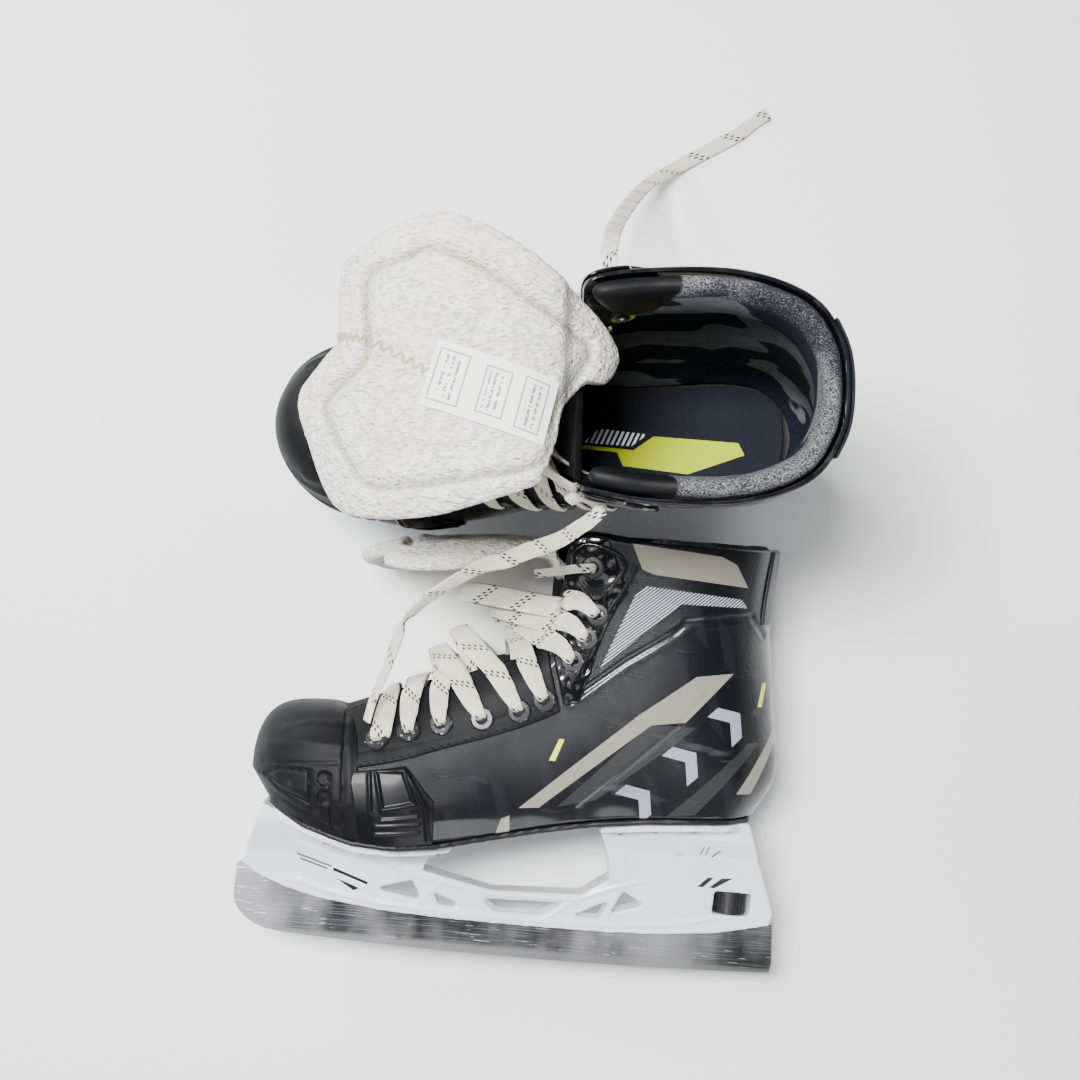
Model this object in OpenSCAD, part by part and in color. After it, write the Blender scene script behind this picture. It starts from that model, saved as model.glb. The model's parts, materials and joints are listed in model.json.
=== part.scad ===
// A pair of ice-hockey skates, as they are put down after use: the left skate lies on its
// inner side with its tongue turned forward, and the right skate stands on its runner behind it.
// One skate is drawn in its own frame (toe to -X, sole up to +Z, the runner's lowest point at
// Z 0, its outer side to -Y for the left skate). The right skate is its mirror image.

/* [Runner] */
// Thickness of the steel where it meets the ice
runner_t = 3; // [2.7:0.1:3.2]
// Thickness of the tang that the holder grips
tang_t = 2.6; // [2.2:0.1:2.6]
// Radius of the rocker along the runner's edge
rocker_r = 2700; // [2000:100:4000]

/* [Holder] */
// Half width of the beam that grips the steel
beam_w = 6.3; // [5.5:0.1:7]
// Thickness of the plates riveted under the sole
plate_t = 4.2; // [3:0.2:5]
// Clearance on each side of the tang in its slot
slot_gap = 0.2; // [0.15:0.05:0.3]
// Radius of the thumb wheel of the runner lock
wheel_r = 8.6; // [8:0.1:9]

/* [Boot] */
// Thickness of the outsole
outsole_t = 3; // [2:0.5:4]
// Thickness of the quarter shell
shell_t = 2.4; // [1.6:0.2:2.8]
// Thickness of the foam and lining inside the quarters
liner_t = 4.2; // [3:0.2:4.5]
// Thickness of the padded collar
collar_t = 10; // [7:0.5:11]
// Outer radius of a lace eyelet
eyelet_r = 5.8; // [5:0.1:6]
// Radius of an eyelet's hole
eyelet_hole_r = 2.6; // [2:0.1:3]

/* [Tongue] */
// Thickness of the felt tongue
felt_t = 8; // [6:0.5:9]
// Half width of the felt at its widest
felt_w = 64; // [50:1:66]
// How far the standing skate's tongue lies to its outer side
felt_shift = 13; // [5:1:14]
// How far the lying skate's tongue lies to its outer side
felt_shift_lying = 18; // [16:1:22]

/* [Laces] */
// Radius of the drawn-together lace
lace_r = 2; // [1.5:0.1:2.4]

/* [Pose] */
// Upward lean of the lying skate's height axis
lie_tilt = 3.6; // [2:0.1:5]
// Roll of the lying skate, heel down
lie_roll = 3.4; // [2:0.1:5]
// Turn of the lying skate about the vertical
lie_yaw = -5.5; // [-10:0.5:0]
// Turn of the standing skate about the vertical
stand_yaw = -1.5; // [-4:0.5:2]
// Distance of the standing skate behind the middle
stand_y = 46; // [46:1:60]

/* [Hidden] */
SIDES = ["left", "right"];
PIECES = ["holder", "holder_rivets", "runner", "lock_stud", "lock_wheel", "outsole",
          "outsole_wings", "lasting_board", "footbed", "quarter_shell", "toe_cap",
          "lower_facings", "ankle_facings", "eyelets", "liner", "collar_pad", "rear_panel",
          "tongue_base", "laces"];

// The row's origin is the middle of the pair's footprint, on the floor.
row_shift = [5.4, 53.5, 0];
left_at = [-20.7, -218.7, 40.18];
right_at = [5, stand_y, 0];

// Height of the sole's underside along the skate, from toe to heel.
SOLE = [[-136, 76], [-126, 70.5], [-105, 62.5], [-80, 56.5], [-60, 55.8], [-40, 58], [-15, 63.5],
        [12, 69.5], [40, 75], [65, 78.5], [92, 80.8], [130, 82.5]];
function sole_z(x) = lookup(x, SOLE);

// The quarters are one smooth skin through these points. Each row runs from the toe cap along
// the side to the middle of the heel. The rows climb from the sole's edge to the throat and collar.
NET = [
    [[-78, 40, 59], [-58, 42, 59], [-34, 38.5, 62.5], [-8, 34, 68], [14, 32, 73], [34, 31, 77],
     [52, 31.5, 80], [70, 32.5, 82], [88, 33, 83.5], [106, 29, 84.5], [119, 16, 85.2], [123, 0, 85.5]],
    [[-81, 45, 76], [-60, 47, 78], [-35, 44, 82], [-8, 39, 89], [14, 37, 94], [33, 36, 98],
     [50, 36.5, 101], [68, 37, 103], [88, 37, 104.5], [110, 32.5, 106], [128, 17.5, 107], [133.5, 0, 108]],
    [[-86, 42, 94], [-62, 44, 99], [-38, 42, 106], [-9, 40, 114], [12, 39.5, 121], [30, 40, 127],
     [46, 40.5, 131], [64, 41, 134], [86, 39.5, 136], [108, 33, 138], [124, 18.5, 139], [129, 0, 140]],
    [[-90, 31, 109], [-67, 32, 117], [-44, 34, 124], [-16, 37, 138], [4, 39, 148], [20, 41.5, 164],
     [34, 44, 176], [56, 46, 180], [82, 44, 181], [104, 35, 181], [118, 19, 181], [123.5, 0, 182]],
    [[-93, 15, 119], [-70, 17, 128], [-47, 20, 137], [-17, 26, 151], [3, 31, 160], [11, 38, 186],
     [14, 45, 216], [42, 49.5, 218], [78, 49, 219], [106, 39, 220], [119, 21, 221.5], [122, 0, 222.5]]];
HEEL = len(NET[0]) - 1;  // station at the middle of the heel
TOP = len(NET) - 1;      // row at the throat and collar

// Toe cap: its edge at the sole, its widest line and the crown that its sides rise to.
CAP_SOLE = [[-76, 40.5, 59], [-92, 39, 61.5], [-106, 34, 66], [-117, 25, 69.5], [-124, 14, 72.5],
            [-127.5, 0, 74]];
CAP_WIDE = [[-79, 46, 78], [-95, 44.5, 80], [-111, 39, 82], [-124, 29, 84], [-133, 15, 86],
            [-136, 0, 87]];
CAP_CROWN = [[-92, 0, 121], [-98, 0, 122.5], [-104, 0, 122.5], [-109, 0, 122], [-112, 0, 121.5],
             [-113, 0, 121]];
CAP_MIDDLE = [-92, 0, 76];
CAP_POWER = 2.5;

// Eyelets of one side, as station and row on the skin, from the toe up.
EYELETS = [[0.72, 2.6], [1.36, 2.66], [2.02, 2.68], [2.66, 2.55], [3.35, 2.5], [3.98, 2.55],
           [4.85, 2.85], [5.35, 3], [5.85, 3.15], [6.15, 3.58]];
// How far the lace stands off the instep between each pair of eyelets.
SLACK = [8, 10, 14, 19, 25, 32, 40, 48];

tongue_pivot = [8, 0, 202];
// Each tongue's middle line once it is turned forward, and its half width as a share.
LEFT_FELT = [[tongue_pivot[0], tongue_pivot[2] + 1], [3, 210], [-16, 212], [-40, 210], [-65, 206], [-88, 200]];
RIGHT_FELT = [[tongue_pivot[0], tongue_pivot[2] + 1], [2, 213], [-20, 217], [-50, 211], [-80, 198], [-106, 180]];
FELT_SHARE = [0.45, 0.58, 0.84, 1, 0.97, 0.6];

// Runner and lock.
hook_at = [-112, 0, 36];   // the runner turns about its front hook
stud_x = 116;
stud_r = 2;
wheel_low = 32.6;
wheel_high = 44;
WINDOWS = [
    [[-68, 30], [-49, 36], [-43, 26]],
    [[-38, 31], [-20, 24], [-34, 24.5]],
    [[-14, 29.5], [30, 31], [19, 24], [-4, 23.5]],
    [[34, 24.5], [53, 34.5], [49, 24.5]],
    [[54, 27.5], [59.5, 40], [71, 33.5]]];
HOLDER_LOW = [[-136, 38], [-128, 32.5], [-114, 27], [-96, 22.5], [-62, 18.8], [-31, 17.6], [8, 17.3],
              [50, 17.6], [82, 19], [112, 22.5], [137, 28.5]];

// Routes of the standing skate's free lace ends, before row_shift, and of the lying skate's, in its own frame.
ROUTE_OUTER = [[30, 95, 203], [30, 98, 206], [29, 103, 204], [30, 109, 195], [32, 120, 170],
               [35, 136, 134], [41, 155, 96], [48, 173, 62], [56, 189, 35], [65, 201, 17],
               [75, 210, 6], [84, 216, 2.5], [93, 221, 2], [102, 226, 2], [113, 232, 2],
               [122, 239, 2], [130, 244, 2]];
ROUTE_INNER = [[27, -4, 203], [26, -5, 206], [23, -8, 205], [20, -10, 201], [16, -12, 193],
               [10, -15, 182], [3, -17, 169], [-6, -19, 158], [-15, -22, 148], [-26, -24, 139],
               [-37, -29, 131], [-48, -35, 124], [-58, -42, 117], [-65, -49, 110],
               [-69, -57, 104], [-73, -67, 98], [-78, -78, 93], [-82, -87, 90], [-85, -97, 88]];
ROUTE_LEFT = [[24, -48, 203], [22, -52, 203], [15, -54, 202], [7, -53, 200], [-2, -51, 198]];
end_r = 2;

function catmull(a, b, c, d, t) =
    0.5 * (2 * b + (c - a) * t + (2 * a - 5 * b + 4 * c - d) * t * t + (3 * b - a - 3 * c + d) * t * t * t);
function along(p, u) =
    let (n = len(p) - 1, i = max(0, min(floor(u), n - 1)))
    catmull(p[max(i - 1, 0)], p[i], p[i + 1], p[min(i + 2, n)], u - i);
function flip_y(p) = [p[0], -p[1], p[2]];
// A row of one side becomes a row from the outer side round to the inner side.
function both_sides(row) =
    let (n = len(row) - 1) concat([for (p = row) flip_y(p)], [for (i = [n - 1:-1:0]) row[i]]);
FULL = [for (row = NET) both_sides(row)];
function skin(u, w) = along([for (row = FULL) along(row, u)], w);
function unit(v) = v / norm(v);
function skin_normal(u, w) =
    let (e = 0.02, a = skin(u + e, w) - skin(u - e, w),
         b = skin(u, min(w + e, TOP)) - skin(u, max(w - e, 0)))
    unit(cross(a, b));
function off_skin(u, w, d) = skin(u, w) + d * skin_normal(u, w);
function steps(a, b, n) = [for (i = [0:n]) a + (b - a) * i / n];
// Two triangles for a four-sided patch.
function patch(a, b, c, d) = [[a, b, c], [a, c, d]];

// Faces of a closed sheet: n columns of m outer points, then the same of inner points.
function sheet_faces(n, m) =
    let (q = n * m)
    concat(
        [for (i = [0:n - 2]) for (k = [0:m - 2])
            each patch(i * m + k, i * m + k + 1, (i + 1) * m + k + 1, (i + 1) * m + k)],
        [for (i = [0:n - 2]) for (k = [0:m - 2])
            each patch(q + i * m + k, q + (i + 1) * m + k, q + (i + 1) * m + k + 1, q + i * m + k + 1)],
        [for (i = [0:n - 2]) each patch(i * m, (i + 1) * m, q + (i + 1) * m, q + i * m)],
        [for (i = [0:n - 2])
            each patch(i * m + m - 1, q + i * m + m - 1, q + (i + 1) * m + m - 1, (i + 1) * m + m - 1)],
        [for (k = [0:m - 2]) each patch(k, q + k, q + k + 1, k + 1)],
        [for (k = [0:m - 2])
            each patch((n - 1) * m + k, (n - 1) * m + k + 1, q + (n - 1) * m + k + 1, q + (n - 1) * m + k)]);

// A panel of the boot: stations us, rows from low(u) to high(u), between two depths off the skin.
module panel(us, low, high, nw, inner, outer) {
    sheet = function (d) [for (u = us) for (w = steps(low(u), high(u), nw)) off_skin(u, w, d)];
    polyhedron(concat(sheet(outer), sheet(inner)), sheet_faces(len(us), nw + 1));
}

// A tube of the given radius along a path.
module tube(path, r, sides) {
    n = len(path);
    rings = [for (i = [0:n - 1])
        let (t = unit(path[min(i + 1, n - 1)] - path[max(i - 1, 0)]),
             s = unit(cross(t, [0.31, 0.17, 0.94])), v = cross(s, t))
        for (k = [0:sides - 1])
            path[i] + r * (cos(360 * k / sides) * s + sin(360 * k / sides) * v)];
    walls = [for (i = [0:n - 2]) for (k = [0:sides - 1])
        let (k2 = (k + 1) % sides)
        each patch(i * sides + k, i * sides + k2, (i + 1) * sides + k2, (i + 1) * sides + k)];
    ends = [[for (k = [sides - 1:-1:0]) k], [for (k = [0:sides - 1]) (n - 1) * sides + k]];
    polyhedron(rings, concat(walls, ends));
}

// A side outline, in X and Z, made h thick to each side of the middle.
module side_prism(points, h) {
    rotate([90, 0, 0]) linear_extrude(2 * h, center = true) polygon(points);
}
// An end outline, given as half width and Z, mirrored and drawn out along X.
module end_prism(half, from, to) {
    n = len(half) - 1;
    outline = concat(half, [for (i = [n:-1:0]) [-half[i][0], half[i][1]]]);
    translate([from, 0, 0]) rotate([90, 0, 90]) linear_extrude(to - from) polygon(outline);
}
// A plan outline, given as X and half width, mirrored.
module plan_prism(half, low, high) {
    n = len(half) - 1;
    translate([0, 0, low]) linear_extrude(high - low)
        polygon(concat(half, [for (i = [n:-1:0]) [half[i][0], -half[i][1]]]));
}
// A layer that follows the sole between two X, from low to high above its underside.
module sole_layer(from, to, low, high, half_w) {
    xs = concat([from], [for (p = SOLE) if (p[0] > from + 1 && p[0] < to - 1) p[0]], [to]);
    n = len(xs) - 1;
    side_prism(concat([for (x = xs) [x, sole_z(x) + low]],
                      [for (i = [n:-1:0]) [xs[i], sole_z(xs[i]) + high]]), half_w);
}

// Half outline of the sole, inset by a distance, in X and half width.
function sole_outline(inset) =
    concat([[CAP_SOLE[5][0] + inset + 1, 0.01]],
           [for (i = [4:-1:1]) [CAP_SOLE[i][0] + inset * 0.7, CAP_SOLE[i][1] - inset * 0.7]],
           [for (i = [0:HEEL - 2]) [NET[0][i][0], NET[0][i][1] - inset]],
           [[NET[0][HEEL - 1][0] - inset * 0.7, NET[0][HEEL - 1][1] - inset * 0.3],
            [NET[0][HEEL][0] - inset, 0.01]]);

module sole_sheet(inset, low, high) {
    intersection() {
        plan_prism(sole_outline(inset), 40, 110);
        sole_layer(-135, 129, low, high, 60);
    }
}

// ---- Steel and lock ----
module runner() {
    edge = [for (x = [-112:14:140]) [x, (x - 10) * (x - 10) / (2 * rocker_r)]];
    nose = [for (a = [70:-14:0]) [-112 - 27 * cos(a), 21 - 18.3 * sin(a)]];
    low_edge = [for (i = [len(HOLDER_LOW) - 1:-1:0]) [HOLDER_LOW[i][0], HOLDER_LOW[i][1] - 0.6]];
    color("silver") {
        side_prism(concat(edge, [[141, 8], [139.5, 28]], low_edge, [[-138.5, 36]],
                          [for (i = [len(nose) - 1:-1:0]) nose[i]]), runner_t / 2);
        side_prism(concat([for (p = HOLDER_LOW) if (abs(p[0]) < 120) [p[0], p[1] - 0.5]],
                          [for (i = [len(HOLDER_LOW) - 1:-1:0])
                              if (abs(HOLDER_LOW[i][0]) < 120) [HOLDER_LOW[i][0], HOLDER_LOW[i][1] + 5]]),
                   tang_t / 2);
        translate(hook_at) rotate([90, 0, 0]) cylinder(h = tang_t, r = 4, center = true, $fn = 48);
        side_prism([[-118, 30], [-106, 28], [-108.5, 36], [-115.5, 36]], tang_t / 2);
        side_prism([[stud_x - 4.5, 24], [stud_x + 4.5, 25], [stud_x + 4.5, 31], [stud_x - 4.5, 31]],
                   tang_t / 2);
    }
}

module lock_stud() {
    color("dimgray") translate([stud_x, 0, 31]) {
        cylinder(h = 4, r = tang_t / 2 - 0.05, $fn = 32);
        translate([0, 0, 3.4]) cylinder(h = 13.6, r = stud_r, $fn = 32);
    }
}

module lock_wheel() {
    ribs = 24;
    color([0.05, 0.05, 0.06]) translate([stud_x, 0, wheel_low]) difference() {
        union() {
            cylinder(h = wheel_high - wheel_low, r = wheel_r - 0.6, $fn = 96);
            for (i = [0:ribs - 1]) rotate([0, 0, 360 * i / ribs])
                translate([wheel_r - 1, -0.5, 0.8]) cube([1, 1, wheel_high - wheel_low - 1.6]);
        }
        translate([0, 0, -1]) cylinder(h = 20, r = stud_r + 0.3, $fn = 48);
    }
}

// ---- Holder ----
FRONT_END = [[beam_w, 10], [beam_w, 24], [7.5, 34], [10, 45], [15, 53], [21, 62], [24, 80]];
REAR_END = [[beam_w, 10], [beam_w, 26], [8.5, 38], [10.5, 50], [13, 62], [18, 72], [22, 90]];
FRONT_PLAN = [[-127, 9], [-122, 17], [-112, 26], [-96, 31], [-72, 34], [-48, 33], [-31, 28]];
REAR_PLAN = [[43, 24], [58, 27.5], [88, 28.5], [108, 25], [119, 16]];

module holder_towers() {
    tops = [for (x = [-31:-16:-127]) [x, sole_z(x)]];
    rear_tops = [for (x = [119:-15:44]) [x, sole_z(x)]];
    outline = concat(HOLDER_LOW, [[138, 35]], rear_tops,
                     [[44, 71], [50, 56], [52, 46], [38, 36.5], [-8, 34.5], [-44, 41.5], [-42, 49], [-31, 53]],
                     tops);
    intersection() {
        side_prism(outline, 40);
        union() {
            end_prism(FRONT_END, -140, 10);
            end_prism(REAR_END, 9, 140);
        }
    }
}

module holder() {
    color([0.9, 0.93, 0.97]) difference() {
        union() {
            holder_towers();
            intersection() { sole_layer(-127, -31, -plate_t, 0, 40); plan_prism(FRONT_PLAN, 40, 90); }
            intersection() { sole_layer(43, 119, -plate_t, 0, 40); plan_prism(REAR_PLAN, 40, 90); }
        }
        for (w = WINDOWS) side_prism(w, 20);
        // slot for the tang, with pockets for the hook, the rear post and the stud
        side_prism(concat([for (p = HOLDER_LOW) if (abs(p[0]) < 130) [p[0], p[1] - 12]],
                          [for (i = [len(HOLDER_LOW) - 1:-1:0])
                              if (abs(HOLDER_LOW[i][0]) < 130) [HOLDER_LOW[i][0], HOLDER_LOW[i][1] + 6]]),
                   tang_t / 2 + slot_gap);
        side_prism([[-120, 20], [-103, 20], [-105, 42], [-118, 42]], tang_t / 2 + slot_gap);
        side_prism([[stud_x - 5.5, 20], [stud_x + 5.5, 20], [stud_x + 5.5, 31.8], [stud_x - 5.5, 31.8]],
                   tang_t / 2 + slot_gap);
        translate([stud_x, 0, 31]) cylinder(h = 18, r = stud_r + 0.6, $fn = 32);
        // window of the thumb wheel
        translate([stud_x - 9.6, -20, wheel_low - 0.4]) cube([19.2, 40, wheel_high - wheel_low + 0.8]);
        // hollows of the two towers, closed above by the outsole
        intersection() {
            side_prism([[-118, 46], [-119, 66], [-48, 56], [-52, 46]], 14);
            end_prism([[6, 46], [12, 55], [14, 80]], -130, -40);
        }
        intersection() {
            side_prism([[58, 52], [57, 77], [110, 82], [120, 54]], 14);
            end_prism([[7, 50], [9, 62], [13, 82]], 50, 130);
        }
    }
}

module holder_rivets() {
    front = [for (x = [-112, -92, -72, -52, -38]) [x, x < -100 ? 17 : 25]];
    rear = [for (x = [52, 70, 90, 108]) [x, x > 100 ? 17 : 21]];
    color([0.75, 0.6, 0.45]) for (p = concat(front, rear)) for (s = [-1, 1])
        translate([p[0], s * p[1], sole_z(p[0]) - plate_t - 1.2]) cylinder(h = plate_t, r = 2.6, $fn = 24);
}

// ---- Sole ----
module outsole() { color([0.06, 0.06, 0.07]) sole_sheet(0, 0.05, outsole_t - 0.1); }
module lasting_board() { color([0.35, 0.3, 0.22]) sole_sheet(4.5, outsole_t, outsole_t + 2); }
module footbed() { color([0.07, 0.08, 0.1]) sole_sheet(9.5, outsole_t + 2.1, outsole_t + 5.6); }

module outsole_wings() {
    for (us = [steps(0.1, 1.75, 6), steps(20.25, 21.9, 6)])
        color([0.05, 0.05, 0.06]) panel(us, function (u) 0.02, function (u) 1.92, 6, 0.15, 1.8);
}

// ---- Boot ----
module quarter_shell() {
    us = concat(steps(0, 3, 6), steps(3.5, 7, 8), steps(7.75, 10, 3), steps(10.5, 11.5, 2),
                steps(12, 14.25, 3), steps(15, 18.5, 8), steps(19, 22, 6));
    color([0.07, 0.08, 0.1]) panel(us, function (u) 0, function (u) TOP, 8, -shell_t, 0);
}

module liner() {
    us = concat(steps(1, 6, 8), steps(7, 10, 3), steps(10.5, 11.5, 2), steps(12, 15, 3), steps(16, 21, 8));
    color([0.1, 0.11, 0.16])
        panel(us, function (u) 0.12, function (u) abs(u - HEEL) < 5.1 ? 3.28 : 3.9, 5,
              -shell_t - 0.1 - liner_t, -shell_t - 0.1);
}

module collar_pad() {
    us = concat(steps(5.95, 9, 6), steps(9.75, 10.5, 1), steps(11, 12.25, 2), steps(13, 16.05, 6));
    color([0.36, 0.37, 0.4])
        panel(us, function (u) 3.32, function (u) TOP, 3, -shell_t - 0.1 - collar_t, -shell_t - 0.1);
}

module rear_panel() {
    color([0.08, 0.08, 0.1])
        panel(steps(9.6, 12.4, 7), function (u) 3.05, function (u) TOP, 4, 0.15, 1.5);
}

module lower_facings() {
    low = function (u) 1.98 + 0.07 * min(u, 2 * HEEL - u);
    for (us = [steps(0.05, 4.3, 9), steps(17.7, 21.95, 9)])
        color([0.11, 0.11, 0.12]) panel(us, low, function (u) TOP, 4, 0.15, 1.5);
}

module ankle_facings() {
    low = function (u) lookup(min(u, 2 * HEEL - u), [[4.4, 2.35], [4.8, 2.3], [5.5, 2.75], [6.65, 3.3]]);
    for (us = [steps(4.4, 6.65, 7), steps(15.35, 17.6, 7)])
        color([0.03, 0.03, 0.04]) panel(us, low, function (u) TOP, 5, 0.15, 1.7);
}

module eyelets() {
    profile = [[eyelet_hole_r, -1.5], [eyelet_hole_r, 3], [eyelet_hole_r + 0.5, 3.3],
               [eyelet_r - 0.8, 3.2], [eyelet_r, 2.4], [eyelet_r, 1.8], [eyelet_hole_r + 0.7, 1.8],
               [eyelet_hole_r + 0.7, -1.5]];
    for (e = EYELETS) for (u = [e[0], 2 * HEEL - e[0]]) {
        n = skin_normal(u, e[1]);
        color([0.1, 0.1, 0.11]) translate(skin(u, e[1])) rotate([0, acos(n[2]), atan2(n[1], n[0])])
            rotate_extrude($fn = 28) polygon(profile);
    }
}

module toe_cap() {
    sole = both_sides(CAP_SOLE);
    wide = both_sides(CAP_WIDE);
    crown = both_sides(CAP_CROWN);
    rows = 7;
    cap_point = function (u, k)
        let (o = along(wide, u), t = along(crown, u), a = 90 * (k - 1) / (rows - 1),
             h = pow(cos(a), 2 / CAP_POWER), v = pow(sin(a), 2 / CAP_POWER))
        k == 0 ? along(sole, u) : [t[0] + (o[0] - t[0]) * h, o[1] * h, o[2] + (t[2] - o[2]) * v];
    us = steps(0, 10, 20);
    outer = [for (u = us) for (k = [0:rows]) cap_point(u, k)];
    inner = [for (p = outer) CAP_MIDDLE + 0.94 * (p - CAP_MIDDLE)];
    color([0.04, 0.04, 0.05])
        polyhedron(concat(outer, inner), cap_faces(len(us), rows + 1));
}

// Faces of a closed cap: like a sheet's, but both sides share the points of the crown line.
function cap_faces(n, m) =
    let (q = n * m, id = function (i, k) (k == m - 1 ? min(i, n - 1 - i) : i) * m + k)
    concat(
        [for (i = [0:n - 2]) for (k = [0:m - 2])
            each patch(id(i, k), id(i, k + 1), id(i + 1, k + 1), id(i + 1, k))],
        [for (i = [0:n - 2]) for (k = [0:m - 2])
            each patch(q + id(i, k), q + id(i + 1, k), q + id(i + 1, k + 1), q + id(i, k + 1))],
        [for (i = [0:n - 2]) each patch(id(i, 0), id(i + 1, 0), q + id(i + 1, 0), q + id(i, 0))],
        [for (k = [0:m - 2]) each patch(id(0, k), q + id(0, k), q + id(0, k + 1), id(0, k + 1))],
        [for (k = [0:m - 2])
            each patch(id(n - 1, k), id(n - 1, k + 1), q + id(n - 1, k + 1), q + id(n - 1, k))]);

// ---- Tongue ----
module tongue_base() {
    us = steps(0.1, 5.35, 10);
    across = steps(-1, 1, 4);
    top = [for (u = us) let (p = along(FULL[TOP], u), w = -p[1] - 3.2)
        for (b = across) [p[0] - 1, b * w, p[2] - 2 + 3 * (1 - b * b)]];
    low = [for (p = top) p + [3, 0, -4.5]];
    color([0.12, 0.12, 0.13]) polyhedron(concat(top, low), sheet_faces(len(us), len(across)));
}

module tongue(line, aside) {
    us = steps(0, len(line) - 1, 12);
    across = steps(-1, 1, 8);
    middle = function (u) along(line, u);
    slope = function (u) unit(middle(u + 0.05) - middle(u - 0.05));
    // the sides of the felt hang a little lower than its middle
    face = function (d) [for (u = us) for (b = across)
        let (m = middle(u), t = slope(u), w = felt_w * along(FELT_SHARE, u), far = u / 5)
        [m[0] + t[1] * d, b * w - aside * far, m[1] - t[0] * d - 9 * far * b * b]];
    color([0.9, 0.9, 0.87]) polyhedron(concat(face(felt_t / 2), face(-felt_t / 2)),
                                       sheet_faces(len(us), len(across)));
}

// ---- Laces ----
// Out of one eyelet, up over the throat and into the next eyelet of the other side.
function crossing(i, s) =
    let (a = EYELETS[i], b = EYELETS[i + 1], flip = function (u) s > 0 ? u : 2 * HEEL - u,
         p = off_skin(flip(a[0]), a[1], 4.5), q = off_skin(flip(2 * HEEL - b[0]), b[1], 4.5),
         lift = unit([-0.55 - 0.16 * i, 0, 1 - 0.1 * i]))
    [off_skin(flip(a[0]), a[1], 2.6), for (t = [0.12, 0.32, 0.5, 0.68, 0.88])
        p + (q - p) * t + lift * (SLACK[i] * sin(180 * t) + (s > 0 ? 2.4 : -2.4) * sin(180 * t)),
     off_skin(flip(2 * HEEL - b[0]), b[1], 2.6)];

module laces() {
    first = [off_skin(EYELETS[0][0], EYELETS[0][1], 2.6),
             for (t = [0.15, 0.5, 0.85])
                 off_skin(EYELETS[0][0], EYELETS[0][1], 4) * (1 - t)
                 + off_skin(2 * HEEL - EYELETS[0][0], EYELETS[0][1], 4) * t + [-4, 0, 12 * sin(180 * t)],
             off_skin(2 * HEEL - EYELETS[0][0], EYELETS[0][1], 2.6)];
    color([0.88, 0.86, 0.78]) {
        tube(first, lace_r, 6);
        for (i = [0:len(SLACK) - 1]) for (s = [-1, 1]) tube(crossing(i, s), lace_r, 6);
    }
}

module lace_end(route) { color([0.88, 0.86, 0.78]) tube(route, end_r, 8); }

// ---- Placing ----
module piece(name) {
    if (name == "holder") holder();
    if (name == "holder_rivets") holder_rivets();
    if (name == "runner") runner();
    if (name == "lock_stud") lock_stud();
    if (name == "lock_wheel") lock_wheel();
    if (name == "outsole") outsole();
    if (name == "outsole_wings") outsole_wings();
    if (name == "lasting_board") lasting_board();
    if (name == "footbed") footbed();
    if (name == "quarter_shell") quarter_shell();
    if (name == "toe_cap") toe_cap();
    if (name == "lower_facings") lower_facings();
    if (name == "ankle_facings") ankle_facings();
    if (name == "eyelets") eyelets();
    if (name == "liner") liner();
    if (name == "collar_pad") collar_pad();
    if (name == "rear_panel") rear_panel();
    if (name == "tongue_base") tongue_base();
    if (name == "laces") laces();
}

module lying() {
    translate(row_shift + left_at) rotate([0, 0, lie_yaw]) rotate([0, lie_roll, 0])
        rotate([-90 + lie_tilt, 0, 0]) children();
}
module standing() {
    translate(row_shift + right_at) rotate([0, 0, stand_yaw]) mirror([0, 1, 0]) children();
}

for (p = PIECES) {
    lying() piece(p);
    standing() piece(p);
}
lying() tongue(LEFT_FELT, felt_shift_lying);  // left_tongue
standing() tongue(RIGHT_FELT, felt_shift);  // right_tongue
lying() lace_end(ROUTE_LEFT);  // left_lace_end
translate(row_shift) lace_end(ROUTE_OUTER);  // right_lace_end_outer
translate(row_shift) lace_end(ROUTE_INNER);  // right_lace_end_inner
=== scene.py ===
"""The looks of a pair of ice-hockey skates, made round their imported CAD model."""
import json
import math
from functools import reduce

import bmesh
import bpy
import numpy as np
from mathutils import Matrix, Vector, noise


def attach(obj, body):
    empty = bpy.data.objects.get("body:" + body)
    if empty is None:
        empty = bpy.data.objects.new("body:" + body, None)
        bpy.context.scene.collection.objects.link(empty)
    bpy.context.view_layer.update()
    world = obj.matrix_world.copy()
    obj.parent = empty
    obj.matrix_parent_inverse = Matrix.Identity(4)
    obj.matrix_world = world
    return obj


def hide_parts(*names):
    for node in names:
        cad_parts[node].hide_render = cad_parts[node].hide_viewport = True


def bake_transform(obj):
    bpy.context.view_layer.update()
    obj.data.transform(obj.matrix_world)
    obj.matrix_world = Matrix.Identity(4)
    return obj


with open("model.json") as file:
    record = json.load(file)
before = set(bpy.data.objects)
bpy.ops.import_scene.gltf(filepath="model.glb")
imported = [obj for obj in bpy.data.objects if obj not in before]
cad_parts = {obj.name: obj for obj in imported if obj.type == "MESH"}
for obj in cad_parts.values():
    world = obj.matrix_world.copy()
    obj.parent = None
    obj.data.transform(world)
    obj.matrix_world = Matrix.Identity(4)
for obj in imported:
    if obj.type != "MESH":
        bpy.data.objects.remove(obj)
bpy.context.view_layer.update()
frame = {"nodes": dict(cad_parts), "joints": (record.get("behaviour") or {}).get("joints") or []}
JOINTS = {j["name"]: j for j in frame["joints"]}
NODES = frame["nodes"]
SIDES = ("left", "right")
MM = 0.001
SHARP_FROM = 50   # edges that turn more than this many degrees stay sharp

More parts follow.
